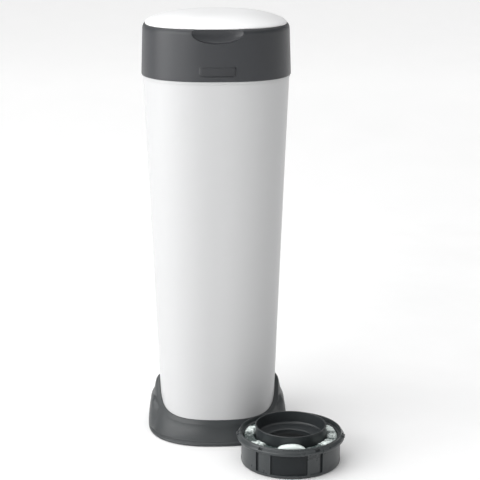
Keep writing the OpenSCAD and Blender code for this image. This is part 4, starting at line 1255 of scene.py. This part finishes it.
def make_film_tab():
    """The film's loose end, a soft pillow across the channel at the front."""
    low, high = span("film_tab", 2)
    rows, columns = 40, 72
    row = rows + 1
    middle_r, half_w = (film_in + film_out) / 2 - 0.3, (film_out - film_in - 3) / 2
    points = []
    for is_top in (True, False):
        for u in steps(-1, 1, columns):
            for v in steps(-1, 1, rows):
                swell = max(0, 1 - abs(u) ** 2.1) ** 0.8 * max(0, 1 - abs(v) ** 2.6) ** 0.5
                a = -90 + TAB_A + TAB_HALF_A * u * (1 - 0.06 * abs(v) ** 4)
                r = middle_r + half_w * v * (1 - 0.1 * u * u)
                along = math.radians(a) * r
                fold = 0.8 * field(2.0, along * 0.14, r * 0.3)
                fold += 0.3 * field(4.0, along * 0.5, r * 0.5)
                top = low + (high - low - 0.7) * swell + fold * swell * 0.9
                z = min(high, top) if is_top else low + 0.2 * (1 - swell)
                points.append(polar(r, a, max(low, z)))
    count = (columns + 1) * row
    faces = []
    for i in range(columns):
        for j in range(rows):
            a, b = i * row + j, (i + 1) * row + j
            faces.append((a, a + 1, b + 1, b))
            faces.append((count + a, count + b, count + b + 1, count + a + 1))
    border = list(range(rows)) + [i * row + rows for i in range(columns)]
    border += [columns * row + j for j in range(rows, 0, -1)]
    border += [i * row for i in range(columns, 0, -1)]
    for a, b in zip(border, border[1:] + border[:1]):
        faces.append((b, a, count + a, count + b))
    obj = mesh_object("film_end", at_cassette((points, faces)), smooth=60)
    mark_points(obj, "gathered", [1.0] * len(points))
    finish([obj], "cassette", film, ["film_tab"])


make_film()
make_film_tab()

# ---- Floor, light and camera ----

# Distance from the middle and height
COVE = ((8000, 0), (16000, 0), (18000, 250), (19200, 900), (19800, 2000), (20100, 3400),
        (20300, 5200))
AIM = (0, 0, 0.3)
# Place, size and power of each softbox
SOFTBOXES = {
    "key": ((-3.1, -0.9, 1.3), (2.6, 2.4), 65),
    "front": ((-1.9, -2.6, 1.4), (1.8, 1.8), 35),
    "top": ((-0.6, 0.4, 3.0), (2.6, 2.6), 27),
}
CAMERA_LENS = 107.25
CAMERA_AT = (-0.0427, -1.9745, 0.783)
CAMERA_DOWN = 14.44
CAMERA_RIGHT = 2.2


def make_floor():
    """A wide round floor that curves up into a backdrop far away, and glows out there."""
    obj = mesh_object("floor", loft([round_ring(r, z) for r, z in COVE], low_tip=(0, 0, 0)))
    material, tree, main = shader("floor_paper")
    colour = tinted(tree, noise_of(tree, 6, 3), (0.9, 0.9, 0.9), (0.93, 0.93, 0.93))
    tree.links.new(colour, main.inputs["Base Color"])
    main.inputs["Roughness"].default_value = 0.9
    main.inputs["Specular IOR Level"].default_value = 0.1
    main.inputs["Emission Color"].default_value = (1, 1, 1, 1)
    where = node_of(tree, "TexCoord", {}).outputs["Object"]
    away = node_of(tree, "VectorMath", {0: where}, operation="LENGTH").outputs["Value"]
    rise, fade = ranged(tree, away, 0.04, 0.24, 0.8, 3.5), ranged(tree, away, 1, 0, 9, 15)
    tree.links.new(reckoned(tree, "MULTIPLY", rise, fade), main.inputs["Emission Strength"])
    obj.data.materials.append(material)


def softbox(name, place, size, power):
    """A rectangular light that points at the bin and isn't seen itself."""
    light = bpy.data.lights.new(name, "AREA")
    light.shape = "RECTANGLE"
    light.size, light.size_y = size
    light.energy = power
    obj = bpy.data.objects.new(name, light)
    obj.location = place
    towards = Vector(AIM) - Vector(place)
    obj.rotation_euler = towards.to_track_quat("-Z", "Y").to_euler()
    obj.visible_camera = False
    scene.collection.objects.link(obj)


def make_world():
    """A pale surround, brighter on the left than on the right."""
    world = bpy.data.worlds.new("surround")
    scene.world = world
    world.use_nodes = True
    tree = world.node_tree
    where = node_of(tree, "TexCoord", {}).outputs["Generated"]
    apart = node_of(tree, "SeparateXYZ", {"Vector": where})
    across = ranged(tree, apart.outputs["X"], 0.27, 0, -0.8, 0.2)
    above = ranged(tree, apart.outputs["Z"], 0, 0.97, 0.25, 0.95)
    surround = tree.nodes["Background"]
    surround.inputs["Color"].default_value = (1, 1, 1, 1)
    tree.links.new(reckoned(tree, "ADD", across, above), surround.inputs["Strength"])


make_floor()
make_world()
for name, settings in SOFTBOXES.items():
    softbox(name, *settings)

camera = bpy.data.cameras.new("camera")
camera.lens = CAMERA_LENS
camera.sensor_width = 36
camera.clip_end = 100
viewer = bpy.data.objects.new("camera", camera)
viewer.location = CAMERA_AT
viewer.rotation_euler = (math.radians(90 - CAMERA_DOWN), 0, math.radians(-CAMERA_RIGHT))
scene.collection.objects.link(viewer)
scene.camera = viewer
scene.view_settings.view_transform = "Standard"
